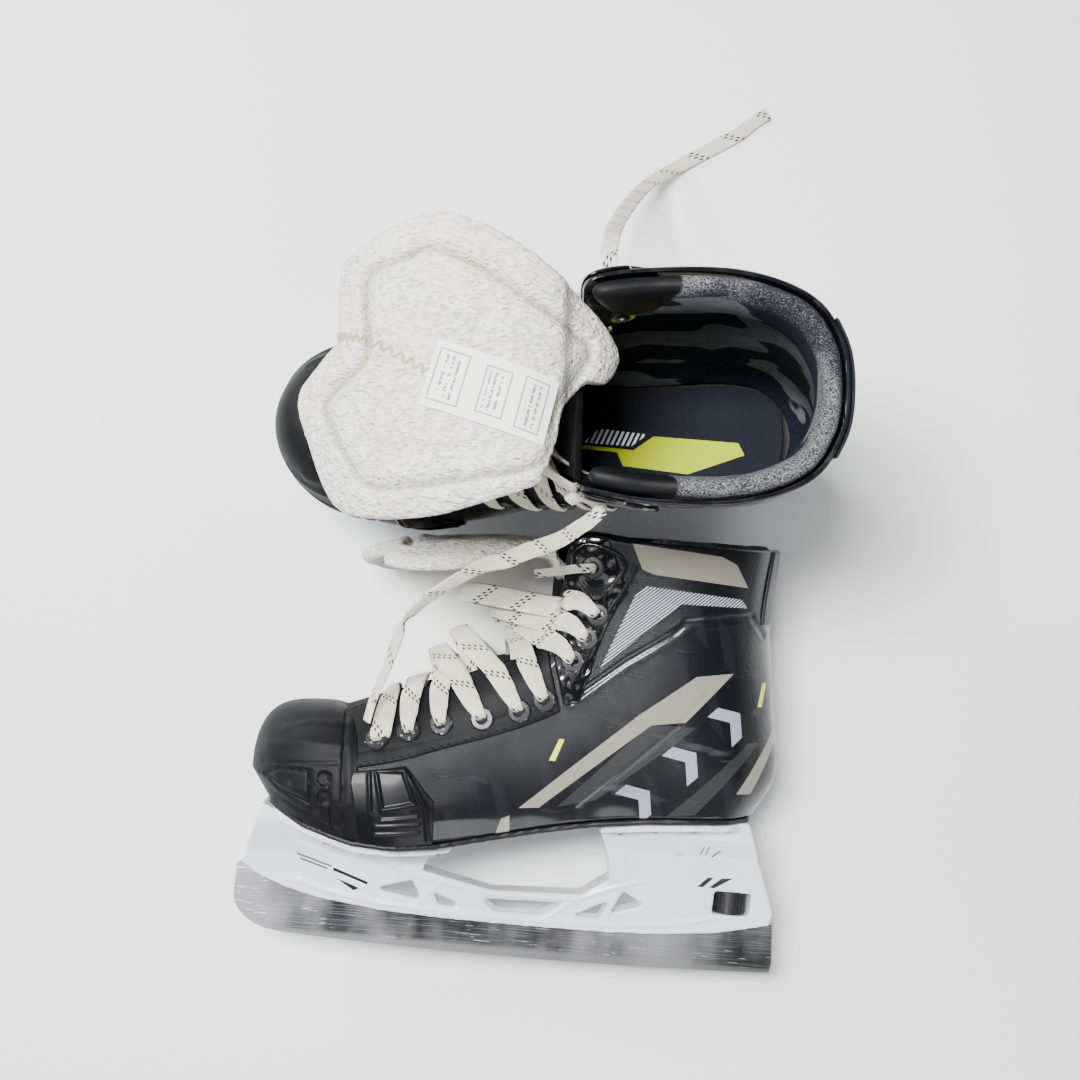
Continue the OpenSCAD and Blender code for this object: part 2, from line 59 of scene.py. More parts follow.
# A skate's own frame is in millimetres: toe to -X, up to +Z, its outer side to -Y. The runner's
# lowest point is at Z 0. The tables below are the design's, as the CAD model has them: HOOK is where
# the runner hooks in, NET the boot's skin as rows from the sole up of stations from toe to heel, CAP the
# toe cap's rows, SOLE the sole's profile, EYELETS their stations and rows, and FELT the tongues' profiles.
HOOK = np.array([-112.0, 0, 36])
NET = np.array([
    [[-78, 40, 59], [-58, 42, 59], [-34, 38.5, 62.5], [-8, 34, 68], [14, 32, 73], [34, 31, 77],
     [52, 31.5, 80], [70, 32.5, 82], [88, 33, 83.5], [106, 29, 84.5], [119, 16, 85.2], [123, 0, 85.5]],
    [[-81, 45, 76], [-60, 47, 78], [-35, 44, 82], [-8, 39, 89], [14, 37, 94], [33, 36, 98],
     [50, 36.5, 101], [68, 37, 103], [88, 37, 104.5], [110, 32.5, 106], [128, 17.5, 107], [133.5, 0, 108]],
    [[-86, 42, 94], [-62, 44, 99], [-38, 42, 106], [-9, 40, 114], [12, 39.5, 121], [30, 40, 127],
     [46, 40.5, 131], [64, 41, 134], [86, 39.5, 136], [108, 33, 138], [124, 18.5, 139], [129, 0, 140]],
    [[-90, 31, 109], [-67, 32, 117], [-44, 34, 124], [-16, 37, 138], [4, 39, 148], [20, 41.5, 164],
     [34, 44, 176], [56, 46, 180], [82, 44, 181], [104, 35, 181], [118, 19, 181], [123.5, 0, 182]],
    [[-93, 15, 119], [-70, 17, 128], [-47, 20, 137], [-17, 26, 151], [3, 31, 160], [11, 38, 186],
     [14, 45, 216], [42, 49.5, 218], [78, 49, 219], [106, 39, 220], [119, 21, 221.5], [122, 0, 222.5]]],
    float)
HEEL = NET.shape[1] - 1
TOP = NET.shape[0] - 1
CAP_SOLE = [[-76, 40.5, 59], [-92, 39, 61.5], [-106, 34, 66], [-117, 25, 69.5], [-124, 14, 72.5],
            [-127.5, 0, 74]]
CAP_WIDE = [[-79, 46, 78], [-95, 44.5, 80], [-111, 39, 82], [-124, 29, 84], [-133, 15, 86],
            [-136, 0, 87]]
CAP_CROWN = [[-92, 0, 121], [-98, 0, 122.5], [-104, 0, 122.5], [-109, 0, 122], [-112, 0, 121.5],
             [-113, 0, 121]]
CAP_MIDDLE = np.array([-92.0, 0, 76])
CAP_POWER = 2.5
SOLE_X = [-136, -126, -105, -80, -60, -40, -15, 12, 40, 65, 92, 130]
SOLE_Z = [76, 70.5, 62.5, 56.5, 55.8, 58, 63.5, 69.5, 75, 78.5, 80.8, 82.5]
EYELETS = [[0.72, 2.6], [1.36, 2.66], [2.02, 2.68], [2.66, 2.55], [3.35, 2.5], [3.98, 2.55],
           [4.85, 2.85], [5.35, 3], [5.85, 3.15], [6.15, 3.58]]
SHELL_T = 2.4
ON_SKIN = 0.15          # the gap between the skin and a panel on it
FACING_TOP = 1.45       # the outer faces of the panels, and of the ankle's, off the skin
ANKLE_TOP = 1.6
FELT = {"left": [[8, 203], [3, 210], [-16, 212], [-40, 210], [-65, 206], [-88, 200]],
        "right": [[8, 203], [2, 213], [-20, 217], [-50, 211], [-80, 198], [-106, 180]]}
FELT_ASIDE = {"left": 18, "right": 13}
FELT_SAG = {"left": 25, "right": 9}
FELT_T = 8
FELT_NARROWER = 0.92   # the left tongue's outer half, which clears the other skate's lace
TONGUE_PIVOT = np.array([8.0, 0, 202])

# Free lace ends in mm: the standing skate's in the row's frame, less ROW_SHIFT, the other's in its own.
ROUTE_OUTER = [
    [30, 95, 203], [30, 98, 206], [29, 103, 204], [30, 109, 195], [32, 120, 170], [35, 136, 134],
    [41, 155, 96], [48, 173, 62], [56, 189, 35], [65, 201, 17], [75, 210, 6], [84, 216, 2.5],
    [93, 221, 2], [102, 226, 2], [113, 232, 2], [122, 239, 2], [130, 244, 2]]
ROUTE_INNER = [
    [27, -4, 203], [26, -5, 206], [23, -8, 205], [20, -10, 201], [16, -12, 193], [10, -15, 182],
    [3, -17, 169], [-6, -19, 158], [-15, -22, 148], [-26, -24, 139], [-37, -29, 131], [-48, -35, 124],
    [-58, -42, 117], [-65, -49, 110], [-69, -57, 104], [-73, -67, 98], [-78, -78, 93], [-82, -87, 90],
    [-85, -97, 88]]
ROUTE_LEFT = [[24, -48, 203], [22, -52, 203], [15, -54, 202], [7, -53, 200], [-4, -50.6, 197.6]]
ROW_SHIFT = np.array([5.4, 53.5, 0])


# The felt tongues' outline, sewn contour and label, in X and Y of the standing skate's own frame.
FELT_OUTLINE = [
    (-47, -74), (-19, -61), (4, -45), (20, -32), (28, -21), (28, -13), (23, -5), (14, -3), (7, 5),
    (4, 12), (2, 24), (-2, 36), (-7, 43), (-37, 53), (-54, 56), (-74, 56), (-89, 52), (-98, 41),
    (-107, 18), (-110, 8), (-109, -2), (-100, -13), (-93, -21), (-93, -31), (-93, -45), (-91, -56),
    (-78, -66), (-62, -72)]
FELT_SEAM = [
    (-52, -57), (-32, -48), (-9, -33), (11, -22), (15, -15), (2, 11), (-2, 32), (-29, 40), (-72, 43),
    (-85, 32), (-95, 14), (-96, 5), (-80, -9), (-78, -20), (-80, -35), (-78, -48), (-62, -54)]
FELT_MIDDLE = (-45, -8)
FELT_TIP = -110
LABEL = [(-47, -17), (3, 0), (-3, 27), (-55, 10)]
LABEL_RUN = (51, 28)   # the label's print is laid out on this width and height
ZIGZAG = [(-92, -22), (-77, -18), (-52, -4)]
FELT_LUMPS = [(0.9, 22, 0), (0.5, 8, 4), (0.35, 3.2, 9), (0.2, 1.6, 2)]   # height, size and seed

# Each lace band's apex: how far along and up it lies from the eyelet it comes out of.
BAND_APEX = [(2, 24), (0, 23), (-25, 30), (-33, 35), (-16, 28), (-30, 16), (-45, 8), (-66, 0)]
LACE_WIDTHS = [4, 5.5, 9, 10.5, 10.5, 10.5, 10, 9.5, 8, 5]
LACE_THICK = 1.6
LACE_LIFT = 1.6

# Stitch lines as stations and rows, piping as steps from the top eyelet in mm, and a stitch's rise.
LOWER_STITCHES = [[(0.3, 2.06), (1.2, 2.13), (2.2, 2.20), (3.2, 2.28), (4.2, 2.34)],
                  [(0.18, 2.12), (0.18, 2.6), (0.2, 3.2), (0.25, 3.85)],
                  [(0.3, 3.86), (1.5, 3.88), (3.0, 3.86), (4.2, 3.84)]]
ANKLE_STITCHES = [[(4.6, 2.46), (5.2, 2.72), (5.9, 3.08), (6.5, 3.40)],
                  [(4.55, 2.6), (4.6, 3.2), (4.7, 3.8)],
                  [(6.5, 3.45), (6.5, 3.7), (6.5, 3.92)],
                  [(6.38, 3.45), (6.38, 3.7), (6.38, 3.92)]]
HOOK_PIPING = [(-12, 2), (-11, 9), (-5, 12.5), (4, 12.5), (10.5, 9), (12, 2), (10, -6), (7, -12), (8, -19)]
EDGE_PIPING = [(15, 10), (15.5, 0), (13, -12), (6, -26), (-1, -42), (-8, -56)]
THREAD_ARCH = np.array([-0.25, 0.12, 0.2, 0.12, -0.25])
FELT_THREAD_ARCH = np.array([-0.5, 0.3, 0.5, 0.3, -0.5])

# The camera looks down on the pair from a little in front of it. In metres and degrees.
CAMERA_AT = (0.0054, -0.0165, 0.8)
CAMERA_TILT = 5
CAMERA_ANGLE = 41.1


# ---- Frames and curves ----

def own_frame(side):
    """A skate's own frame in the row frame: its turn, its mirror and its origin in metres."""
    release = JOINTS[f"{side}_runner_release"]
    y, z = np.array(release["axis"]), np.array(JOINTS[f"{side}_lock_turn"]["axis"])
    turn = np.stack([np.cross(y, z), y, z], 1)
    flip = np.array([1, -1 if side == "right" else 1, 1])
    return turn, flip, np.array(release["pos_m"]) - turn @ HOOK * MM


OWN = {side: own_frame(side) for side in SIDES}


def place(side, points):
    turn, flip, origin = OWN[side]
    return (np.asarray(points, float) * flip * MM) @ turn.T + origin


def unplace(side, points):
    turn, flip, origin = OWN[side]
    return (np.asarray(points, float) - origin) @ turn * flip / MM


def between(four, f):
    """The place at share f between the middle two of four points, on a smooth curve."""
    a, b, c, d = four
    return 0.5 * (2 * b + (c - a) * f + (2 * a - 5 * b + 4 * c - d) * f ** 2
                  + (3 * b - a - 3 * c + d) * f ** 3)


def spline(p, t):
    """A smooth curve through points p, at parameters t."""
    p, t = np.asarray(p, float), np.asarray(t, float)
    last = len(p) - 1
    i = np.clip(np.floor(t).astype(int), 0, last - 1)
    return between((p[np.clip(i + k, 0, last)] for k in (-1, 0, 1, 2)), (t - i)[..., None])


def drawn(points, n):
    """n places along the smooth curve through points."""
    return spline(points, np.linspace(0, len(points) - 1, n))


def lengths(line):
    """How far along a line each of its points is."""
    return np.concatenate([[0], np.cumsum(np.linalg.norm(np.diff(line, axis=0), axis=1))])


def dashes(line, run, start, length, gap):
    """For each dash along a line, the first two coordinates of five places on it."""
    for at in np.arange(start, run[-1] - length, length + gap):
        yield (np.interp(np.linspace(at, at + length, 5), run, line[:, k]) for k in (0, 1))


def unit(v):
    return v / np.maximum(np.linalg.norm(v, axis=-1, keepdims=True), 1e-9)


FLIP_Y = np.array([1, -1, 1])


def both_sides(half):
    """A row of points round the boot, from its half on the inner side."""
    half = np.array(half)
    return np.concatenate([half * FLIP_Y, half[-2::-1]])


FULL = [both_sides(row) for row in NET]


def skin(u, w):
    """The boot's outer skin at stations u and rows w."""
    u, w = np.broadcast_arrays(np.asarray(u, float), np.asarray(w, float))
    rows = np.stack([spline(row, u) for row in FULL])
    i = np.clip(np.floor(w).astype(int), 0, TOP - 1)
    index = np.indices(u.shape)
    return between((rows[(np.clip(i + k, 0, TOP), *index)] for k in (-1, 0, 1, 2)), (w - i)[..., None])


def normal(u, w):
    e = 0.02
    w = np.asarray(w, float)
    return unit(np.cross(skin(u + e, w) - skin(u - e, w),
                         skin(u, np.minimum(w + e, TOP)) - skin(u, np.maximum(w - e, 0))))


def off_skin(u, w, d):
    return skin(u, w) + np.asarray(d)[..., None] * normal(np.asarray(u, float), w)


def near_skin(u, w, dx, dz):
    """The station and row that lie dx along and dz up from a place on the skin, in mm."""
    e = 0.05
    du, dw = (skin(u + e, w) - skin(u - e, w)) / (2 * e), (skin(u, w + e) - skin(u, w - e)) / (2 * e)
    step = np.linalg.solve([[du[0], dw[0]], [du[2], dw[2]]], [dx, dz])
    return u + step[0], w + step[1]


def eased(a, b, n, length, edge):
    """Parameters from a to b with extra ones close to both ends, where an edge is rounded."""
    ends = np.array([0, 0.08, 0.3, 0.62, 1]) * edge / length
    t = np.concatenate([ends, np.linspace(ends[-1], 1 - ends[-1], n)[1:-1], 1 - ends[::-1]])
    return a + (b - a) * t


# ---- Meshes ----

def quads(n, m, wrap=False):
    """Faces of a grid of n columns of m points."""
    i, k = np.meshgrid(np.arange(n - 1), np.arange(m if wrap else m - 1), indexing="ij")
    k2 = (k + 1) % m
    return np.stack([i * m + k, i * m + k2, (i + 1) * m + k2, (i + 1) * m + k], -1).reshape(-1, 4)


def closed_sheet(outer, inner, ids=None, rim=None):
    """A sheet with two faces and a rim, from two grids of points. Where the sheet closes on itself,
    ids gives the grid's points, some of them shared, and rim its open edge."""
    n, m = outer.shape[:2]
    q = n * m
    if ids is None:
        ids = np.arange(q).reshape(n, m)
        rim = np.concatenate([ids[:, 0], ids[-1, 1:], ids[-2::-1, -1], ids[0, -2:0:-1]])
    face, after = ids.ravel()[quads(n, m)], np.roll(rim, -1)
    faces = np.concatenate([face, face[:, ::-1] + q, np.stack([rim, after, after + q, rim + q], 1)])
    return np.concatenate([outer.reshape(-1, 3), inner.reshape(-1, 3)]), faces


def rim_distance(grid):
    """How far each point of a grid is from the grid's rim, measured along its rows and columns."""
    far = []
    for axis in (0, 1):
        step = np.linalg.norm(np.diff(grid, axis=axis), axis=-1)
        zero = np.zeros_like(np.take(step, [0], axis))
        run = np.cumsum(np.concatenate([zero, step], axis), axis)
        far += [run, np.take(run, [-1], axis) - run]
    return np.minimum.reduce(far)


def rounded(distance, radius):
    """Height share of a rounded edge at a distance from the rim."""
    t = np.clip(distance / radius, 0, 1)
    return np.sqrt(np.maximum(0, 1 - (1 - t) ** 2))


def read(mesh, what):
    """The vertices' co or normal as rows."""
    values = np.zeros(len(mesh.vertices) * 3)
    mesh.vertices.foreach_get(what, values)
    return values.reshape(-1, 3)


def smooth_mesh(name, side, points, faces, world=False):
    """A mesh that faces outwards, from points in a skate's own frame, or in the row's for world."""
    mesh = bpy.data.meshes.new(f"{side}_{name}")
    placed = np.asarray(points) * MM if world else place(side, points)
    mesh.from_pydata(placed.tolist(), [], [list(f) for f in faces])
    shape = bmesh.new()
    shape.from_mesh(mesh)
    bmesh.ops.recalc_face_normals(shape, faces=shape.faces)
    shape.to_mesh(mesh)
    shape.free()
    return mesh


def show(mesh, side, look, replaces=(), run=None, seam=None):
    """Shows a mesh as a piece. Its attributes are its place in the skate's own frame, and its run
    and seam distance if given."""
    for name, values in (("local", unplace(side, read(mesh, "co"))), ("run", run), ("seam", seam)):
        if values is not None:
            attribute = mesh.attributes.new(name, "FLOAT_VECTOR", "POINT")
            attribute.data.foreach_set("vector", values.astype(np.float32).ravel())
    mesh.shade_smooth()
    mesh.set_sharp_from_angle(angle=math.radians(SHARP_FROM))
    mesh.materials.append(look)
    obj = bpy.data.objects.new(mesh.name, mesh)
    bpy.context.scene.collection.objects.link(obj)
    if replaces:
        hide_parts(*[f"{side}_{name}" for name in replaces])
    return obj


def piece(name, side, shape, look, slot, *replaces, run=None, world=False):
    """A smooth piece of the skate's body, from its points and faces."""
    obj = show(smooth_mesh(name, side, *shape, world), side, look, replaces, run)
    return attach(obj, f"{side}_skate")


def panel(us, low, high, nw, inner, outer, edge=1.2, relief=None):
    """A panel on the skin with rounded edges: points and faces. It goes from station us[0] to us[1]
    in us[2] steps, between rows low and high, and from inner to outer mm off the skin."""
    length = lengths(skin(np.linspace(us[0], us[1], 40), np.full(40, 2.5)))[-1]
    u, share = np.meshgrid(eased(us[0], us[1], us[2], length, edge), eased(0, 1, nw, 45, edge), indexing="ij")
    low, high = (row(u) if callable(row) else row for row in (low, high))
    w = low + (high - low) * share
    distance = rim_distance(skin(u, w))
    d = inner + 0.1 + (outer - inner - 0.1) * rounded(distance, edge)
    if relief is not None:
        d = d + relief(skin(u, w)) * np.clip(distance / 2, 0, 1)
    return closed_sheet(off_skin(u, w, d), off_skin(u, w, np.full_like(d, inner)))


def joined(parts):
    """Several (points, faces) as one."""
    points, faces, base = [], [], 0
    for p, f in parts:
        points.append(np.asarray(p).reshape(-1, 3))
        faces += [[int(k) + base for k in face] for face in f]
        base += len(points[-1])
    return np.concatenate(points), faces


def around(n):
    """n angles evenly spread round a circle."""
    return np.linspace(0, 2 * math.pi, n, endpoint=False)


def ends(n, m):
    """The two end faces of n rings of m points."""
    return [list(range(m)), list(range((n - 1) * m, n * m))]


def swept(path, across, up, wide, high):
    """A bar along a path, whose ring k goes wide[k] across and high[k] up: points and faces."""
    points = path[:, None] + across[:, None] * wide[..., None] + up[:, None] * high[..., None]
    n, m = wide.shape
    return points.reshape(-1, 3), quads(n, m, wrap=True).tolist() + ends(n, m)


def tube(path, radius, sides=6):
    """A round tube along a path, closed at both ends by a small ring."""
    path = np.asarray(path, float)
    tangent = unit(np.gradient(path, axis=0))
    across = unit(np.cross(tangent, [0.31, 0.17, 0.94]))
    a = around(sides)
    r = np.full((len(path), 1), float(radius))
    r[[0, -1]] *= 0.3
    return swept(path, across, np.cross(across, tangent), r * np.cos(a), r * np.sin(a))


def ribbon(path, width_axis, width, thick):
    """A flat lace along a path. Gives its points and faces, and its run: length and width, in mm."""
    tangent = unit(np.gradient(path, axis=0))
    across = unit(width_axis - (width_axis * tangent).sum(-1, keepdims=True) * tangent)
    a = around(14)
    wide = np.sign(np.cos(a)) * np.abs(np.cos(a)) ** 0.45 * width[:, None] / 2
    high = np.sin(a) * np.full((len(path), 1), thick / 2)
    run = np.stack(np.broadcast_arrays(lengths(path)[:, None], wide, np.sin(a)), -1).reshape(-1, 3)
    return swept(path, across, np.cross(tangent, across), wide, high), run


def line_distance(points, line):
    """The distance in X and Z from points to a line of [x, z] points."""
    best = np.full(points.shape[:-1], 1e9)
    p = points[..., [0, 2]]
    line = np.asarray(line, float)
    for a, b in zip(line[:-1], line[1:]):
        t = np.clip(((p - a) @ (b - a)) / ((b - a) @ (b - a)), 0, 1)
        best = np.minimum(best, np.linalg.norm(p - a - t[..., None] * (b - a), axis=-1))
    return best


def bell(x, width):
    return np.exp(-(x / width) ** 2)


def ridge(points, line, height, width, aside=0.0):
    """A ridge along a line of [x, z] points and aside mm from it, or a groove for a height below 0."""
    return height * bell(line_distance(points, line) - aside, width)


def ridges(points, *rows):
    return sum(ridge(points, *row) for row in rows)


def rough(points, scale, seed=0.0):
    """Smooth noise at points, for a given feature size in mm."""
    flat = np.asarray(points).reshape(-1, 3) / scale + seed
    return np.array([noise.noise(p) for p in flat]).reshape(np.asarray(points).shape[:-1])


# ---- Materials ----

class Value:
    """A socket of a look's node tree, with arithmetic that adds nodes."""

    def __init__(self, look, socket):
        self.look, self.socket = look, socket

    def math(self, operation, *others):
        return self.look.add("Math", self, *others, operation=operation)

    def __add__(self, other):
        return self.math("ADD", other)

    def __sub__(self, other):
        return self.math("SUBTRACT", other)

    def __mul__(self, other):
        return self.math("MULTIPLY", other)

    def __gt__(self, other):
        return self.math("GREATER_THAN", other)

    def __lt__(self, other):
        return self.math("LESS_THAN", other)

    def __abs__(self):
        return self.math("ABSOLUTE")

    def waves(self, period, phase=0.0):
        """A sine along this value, from -1 to 1."""
        return (self * (2 * math.pi / period) + phase).math("SINE")

    def step(self, low, high):
        """A smooth step from 0 at low to 1 at high."""
        return self.look.add("MapRange", self, low, high, 0.0, 1.0, interpolation_type="SMOOTHSTEP")


class Look:
    """A principled material. Its node calls take values or plain numbers and colours."""

    def __init__(self, name, colour, rough_value, **more):
        self.mat = bpy.data.materials.new(name)
        self.mat.use_nodes = True
        self.tree = self.mat.node_tree
        self.shader = self.tree.nodes["Principled BSDF"]
        self.colour = colour
        self.set("Base Color", colour)
        self.set("Roughness", rough_value)
        for key, value in more.items():
            self.set(key.replace("_", " ").title().replace("Ior", "IOR"), value)

    def set(self, name, value):
        self.feed(self.shader.inputs[name], value)

    def feed(self, socket, value):
        if isinstance(value, Value):
            self.tree.links.new(value.socket, socket)
        elif isinstance(value, tuple) and len(value) == 3 and len(socket.default_value) == 4:
            socket.default_value = (*value, 1)
        else:
            socket.default_value = value

    def add(self, kind, *inputs, out=0, **props):
        node = self.tree.nodes.new("ShaderNode" + kind)
        for key, value in props.items():
            setattr(node, key, value)
        for socket, value in zip(node.inputs, inputs):
            if value is not None:
                self.feed(socket, value)
        return Value(self, node.outputs[out])

    def mix(self, share, a, b):
        return self.add("MixRGB", share, a, b)

    def own(self, name="local"):
        """Takes a point in the skate's own frame, or along a lace, in mm, and gives its three parts."""
        self.vector = self.add("Attribute", attribute_name=name, out=1)
        return [self.add("SeparateXYZ", self.vector, out=k) for k in range(3)]

    def paint(self, mask, ink):
        """Lays ink over the colour so far, where mask is 1."""
        self.colour = self.mix(mask, self.colour, ink)
        self.set("Base Color", self.colour)

    def scaled(self, size, stretch):
        factors = tuple(1 / (size * s) for s in stretch)
        return self.add("VectorMath", self.vector, factors, operation="MULTIPLY")

    def noise(self, size, detail=3.0, stretch=(1, 1, 1)):
        """Noise with features of about size mm, stretched along some axes."""
        return self.add("TexNoise", self.scaled(size, stretch), None, 1.0, detail)

    def cells(self, size, stretch=(1, 1, 1)):
        return self.add("TexVoronoi", self.scaled(size, stretch), None, 1.0)

    def inside(self, a, b, *outlines):
        """1 inside any of the convex outlines in the plane of a and b, 0 outside them."""
        masks = []
        for outline in outlines:
            turn = sum(p[0] * q[1] - q[0] * p[1] for p, q in zip(outline, outline[1:] + outline[:1]))
            points = outline if turn > 0 else outline[::-1]
            edges = []
            for (x0, y0), (x1, y1) in zip(points, points[1:] + points[:1]):
                long = math.hypot(x1 - x0, y1 - y0)
                nx, ny = (y0 - y1) / long, (x1 - x0) / long
                edges.append(b * ny + (a * nx + (-nx * x0 - ny * y0)))
            masks.append(reduce(lambda p, q: p.math("MINIMUM", q), edges).step(-0.1, 0.1))
        return self.any_of(masks)

    def any_of(self, masks):
        return reduce(lambda p, q: p.math("MAXIMUM", q), masks)

    def bump(self, height, depth, strength=1.0):
        """Adds a bump of about depth mm over the ones before it."""
        node = self.tree.nodes.new("ShaderNodeBump")
        for name, value in (("Strength", strength), ("Distance", depth * MM), ("Height", height)):
            self.feed(node.inputs[name], value)
        normal_in = self.shader.inputs["Normal"]
        if normal_in.is_linked:
            self.tree.links.new(normal_in.links[0].from_socket, node.inputs["Normal"])
        self.tree.links.new(node.outputs[0], normal_in)


# Prints on the quarters, as convex outlines in X and Z.
SILVER_PRINT = [[(0, 82), (10, 83), (61, 129), (55, 134)],
                [(55, 134), (61, 129), (78, 132), (100, 158), (81, 155)],
                [(108, 98), (116, 98), (129, 126), (127, 131)],
                [(-11, 64), (-3, 65), (-4, 78), (-8, 76)],
                [(42, 217), (87, 215), (95, 212), (103, 201), (54, 203), (48, 205)]]
GREY_PRINT = [[(19, 84), (38, 89), (84, 130), (60, 129)], [(74, 84), (88, 86), (118, 124), (112, 124)]]
YELLOW_PRINT = [[(115.5, 142), (118, 142), (120, 154), (117.5, 154)],
                [(12.5, 107), (15.5, 107), (19, 118), (16.5, 118)]]
PIN_PRINT = [[(51, 197), (100, 195), (104, 191), (69, 190)], [(51, 197), (69, 190), (33, 155), (46, 192)]]
SEAM = [(20, 137), (45, 159), (67, 175), (73, 181), (107, 187), (116, 178)]
BADGE_START, BADGE_END = np.array([56.0, 88]), np.array([108.0, 141])


def badge_bars():
    """Three slanted bars in a row, as the quarter's main print."""
    run = BADGE_END - BADGE_START
    along = run / np.linalg.norm(run)
    across = np.array([-along[1], along[0]])
    bars = []
    for share in (0.06, 0.46, 0.86):
        middle = BADGE_START + share * run
        for shift in (-1, 1):
            tip = middle + along * 7
            bars.append([tuple(p) for p in (tip, tip - along * 7 + shift * across * 10,
                                            tip - along * 14 + shift * across * 10, tip - along * 7)])
    return bars


QUARTER_PRINTS = [(GREY_PRINT, (0.026, 0.027, 0.029)), (badge_bars(), (0.29, 0.30, 0.40)),
                  (SILVER_PRINT, (0.25, 0.235, 0.185)), (YELLOW_PRINT, (0.80, 0.84, 0.01))]


def quarter_look():
    look = Look("quarter_composite", (0.0022, 0.0026, 0.0045), 0.3, coat_weight=0.4, coat_roughness=0.07,
                specular_ior_level=0.18)
    x, _, z = look.own()
    weave = (x + z).waves(1.5) * (x - z).waves(1.5)
    blocks = (z * 0.3 + x).waves(13) > 0.25
    band = (x * 0.8 + z).waves(34) > -0.1
    look.paint(blocks * band, (0.007, 0.008, 0.012))
    look.paint(weave * 0.3 + 0.2, (0.01, 0.011, 0.015))
    for outlines, ink in QUARTER_PRINTS:
        worn = look.mix(weave * 0.25 + 0.25, ink, tuple(c * 0.78 for c in ink))
        look.paint(look.inside(x, z, *outlines), worn)
    lines = (z * -1.1 + x).waves(1.9).step(-0.1, 0.1)
    look.paint(lines * look.inside(x, z, *PIN_PRINT), (0.42, 0.46, 0.52))
    scuffs = look.noise(14, 8, (3, 1, 0.6)).step(0.6, 0.74)
    look.paint(scuffs * 0.35, (0.09, 0.09, 0.1))
    look.set("Roughness", scuffs * 0.3 + 0.26)
    look.bump(weave, 0.08, 0.8)
    look.bump(look.noise(30, 2), 0.5, 0.2)
    return look.mat


def cap_look():
    look = Look("cap_rubber", (0.0035, 0.0035, 0.0045), 0.55, specular_ior_level=0.16)
    look.own()
    scuffs = look.noise(9, 7).step(0.56, 0.72)
    look.paint(scuffs, (0.013, 0.012, 0.012))
    look.set("Roughness", scuffs * 0.15 + 0.56)
    look.bump(look.noise(0.6, 4), 0.12, 0.5)
    return look.mat


def leather_look(name, dark, light, roughness, grain_size, coat=0.0):
    """Synthetic leather with grain and paler wear."""
    look = Look(name, dark, roughness, coat_weight=coat, coat_roughness=0.06, specular_ior_level=0.16)
    look.own()
    wear = look.noise(12, 6).step(0.5, 0.75)
    look.paint(wear, light)
    look.set("Roughness", wear * 0.12 + (roughness - 0.04))
    look.bump(look.cells(grain_size), 0.10, 0.4)
    look.bump(look.noise(7, 3), 0.5, 0.35)
    return look.mat


def moulded_look(name, colour, roughness, wear_colour, coat=0.0):
    """Moulded plastic with fine grain, haze and rubbed places."""
    look = Look(name, colour, roughness, coat_weight=coat, coat_roughness=0.1, specular_ior_level=0.2)
    look.own()
    rubbed = look.noise(11, 8).step(0.55, 0.75)
    look.paint(rubbed, wear_colour)
    look.set("Roughness", rubbed * 0.15 + roughness)
    look.bump(look.noise(0.5, 2), 0.03, 0.4)
    look.bump(look.noise(18, 2), 0.4, 0.25)
    return look.mat


# Marks on the holders, in X and Z.
HOLDER_GREY = [[(-108, 45.5), (-90, 40.2), (-90.3, 39.2), (-108.3, 44.5)],
               [(-106, 43), (-92, 38.8), (-92.3, 37.8), (-106.3, 42)]]
HOLDER_BLACK = [
    [(-89, 39.2), (-71, 33), (-71.5, 31.6), (-89.4, 37.6)], [(-88, 34), (-75, 29.5), (-78, 28)],
    [(97, 46), (102, 51.5), (105, 51.5), (100, 46)], [(103, 46), (109, 51.5), (115, 52), (106, 46)],
    [(96, 63), (97.4, 68), (98, 68), (96.6, 63)], [(98.6, 63), (100, 68), (100.6, 68), (99.2, 63)],
    [(102, 62.5), (106, 66.5), (106.6, 66), (102.6, 62)]]


def holder_look():
    look = Look("holder_plastic", (0.60, 0.69, 0.77), 0.28, subsurface_weight=0.05, coat_weight=0.2)
    x, _, z = look.own()
    marks = look.noise(5, 8, (4, 1, 1)).step(0.66, 0.74)
    look.paint(look.noise(40, 2), (0.74, 0.80, 0.86))
    look.paint(marks * 0.55, (0.3, 0.31, 0.33))
    look.paint(look.noise(16, 6).step(0.55, 0.8) * 0.18, (0.5, 0.5, 0.5))
    look.paint(look.inside(x, z, *HOLDER_GREY), (0.10, 0.10, 0.11))
    look.paint(look.inside(x, z, *HOLDER_BLACK), (0.01, 0.01, 0.012))
    look.set("Roughness", marks * 0.3 + 0.27)
    look.bump(look.noise(9, 3), 0.25, 0.3)
    return look.mat


def own_coordinates(look, side):
    """The skate's own frame in mm from object coordinates, for a CAD node that has no attribute."""
    turn, flip, origin = OWN[side]
    angles = Matrix(turn.tolist()).to_euler()
    return look.add("Mapping", look.add("TexCoord", out=3), tuple(origin), tuple(angles),
                    tuple(MM * f for f in flip), vector_type="TEXTURE")


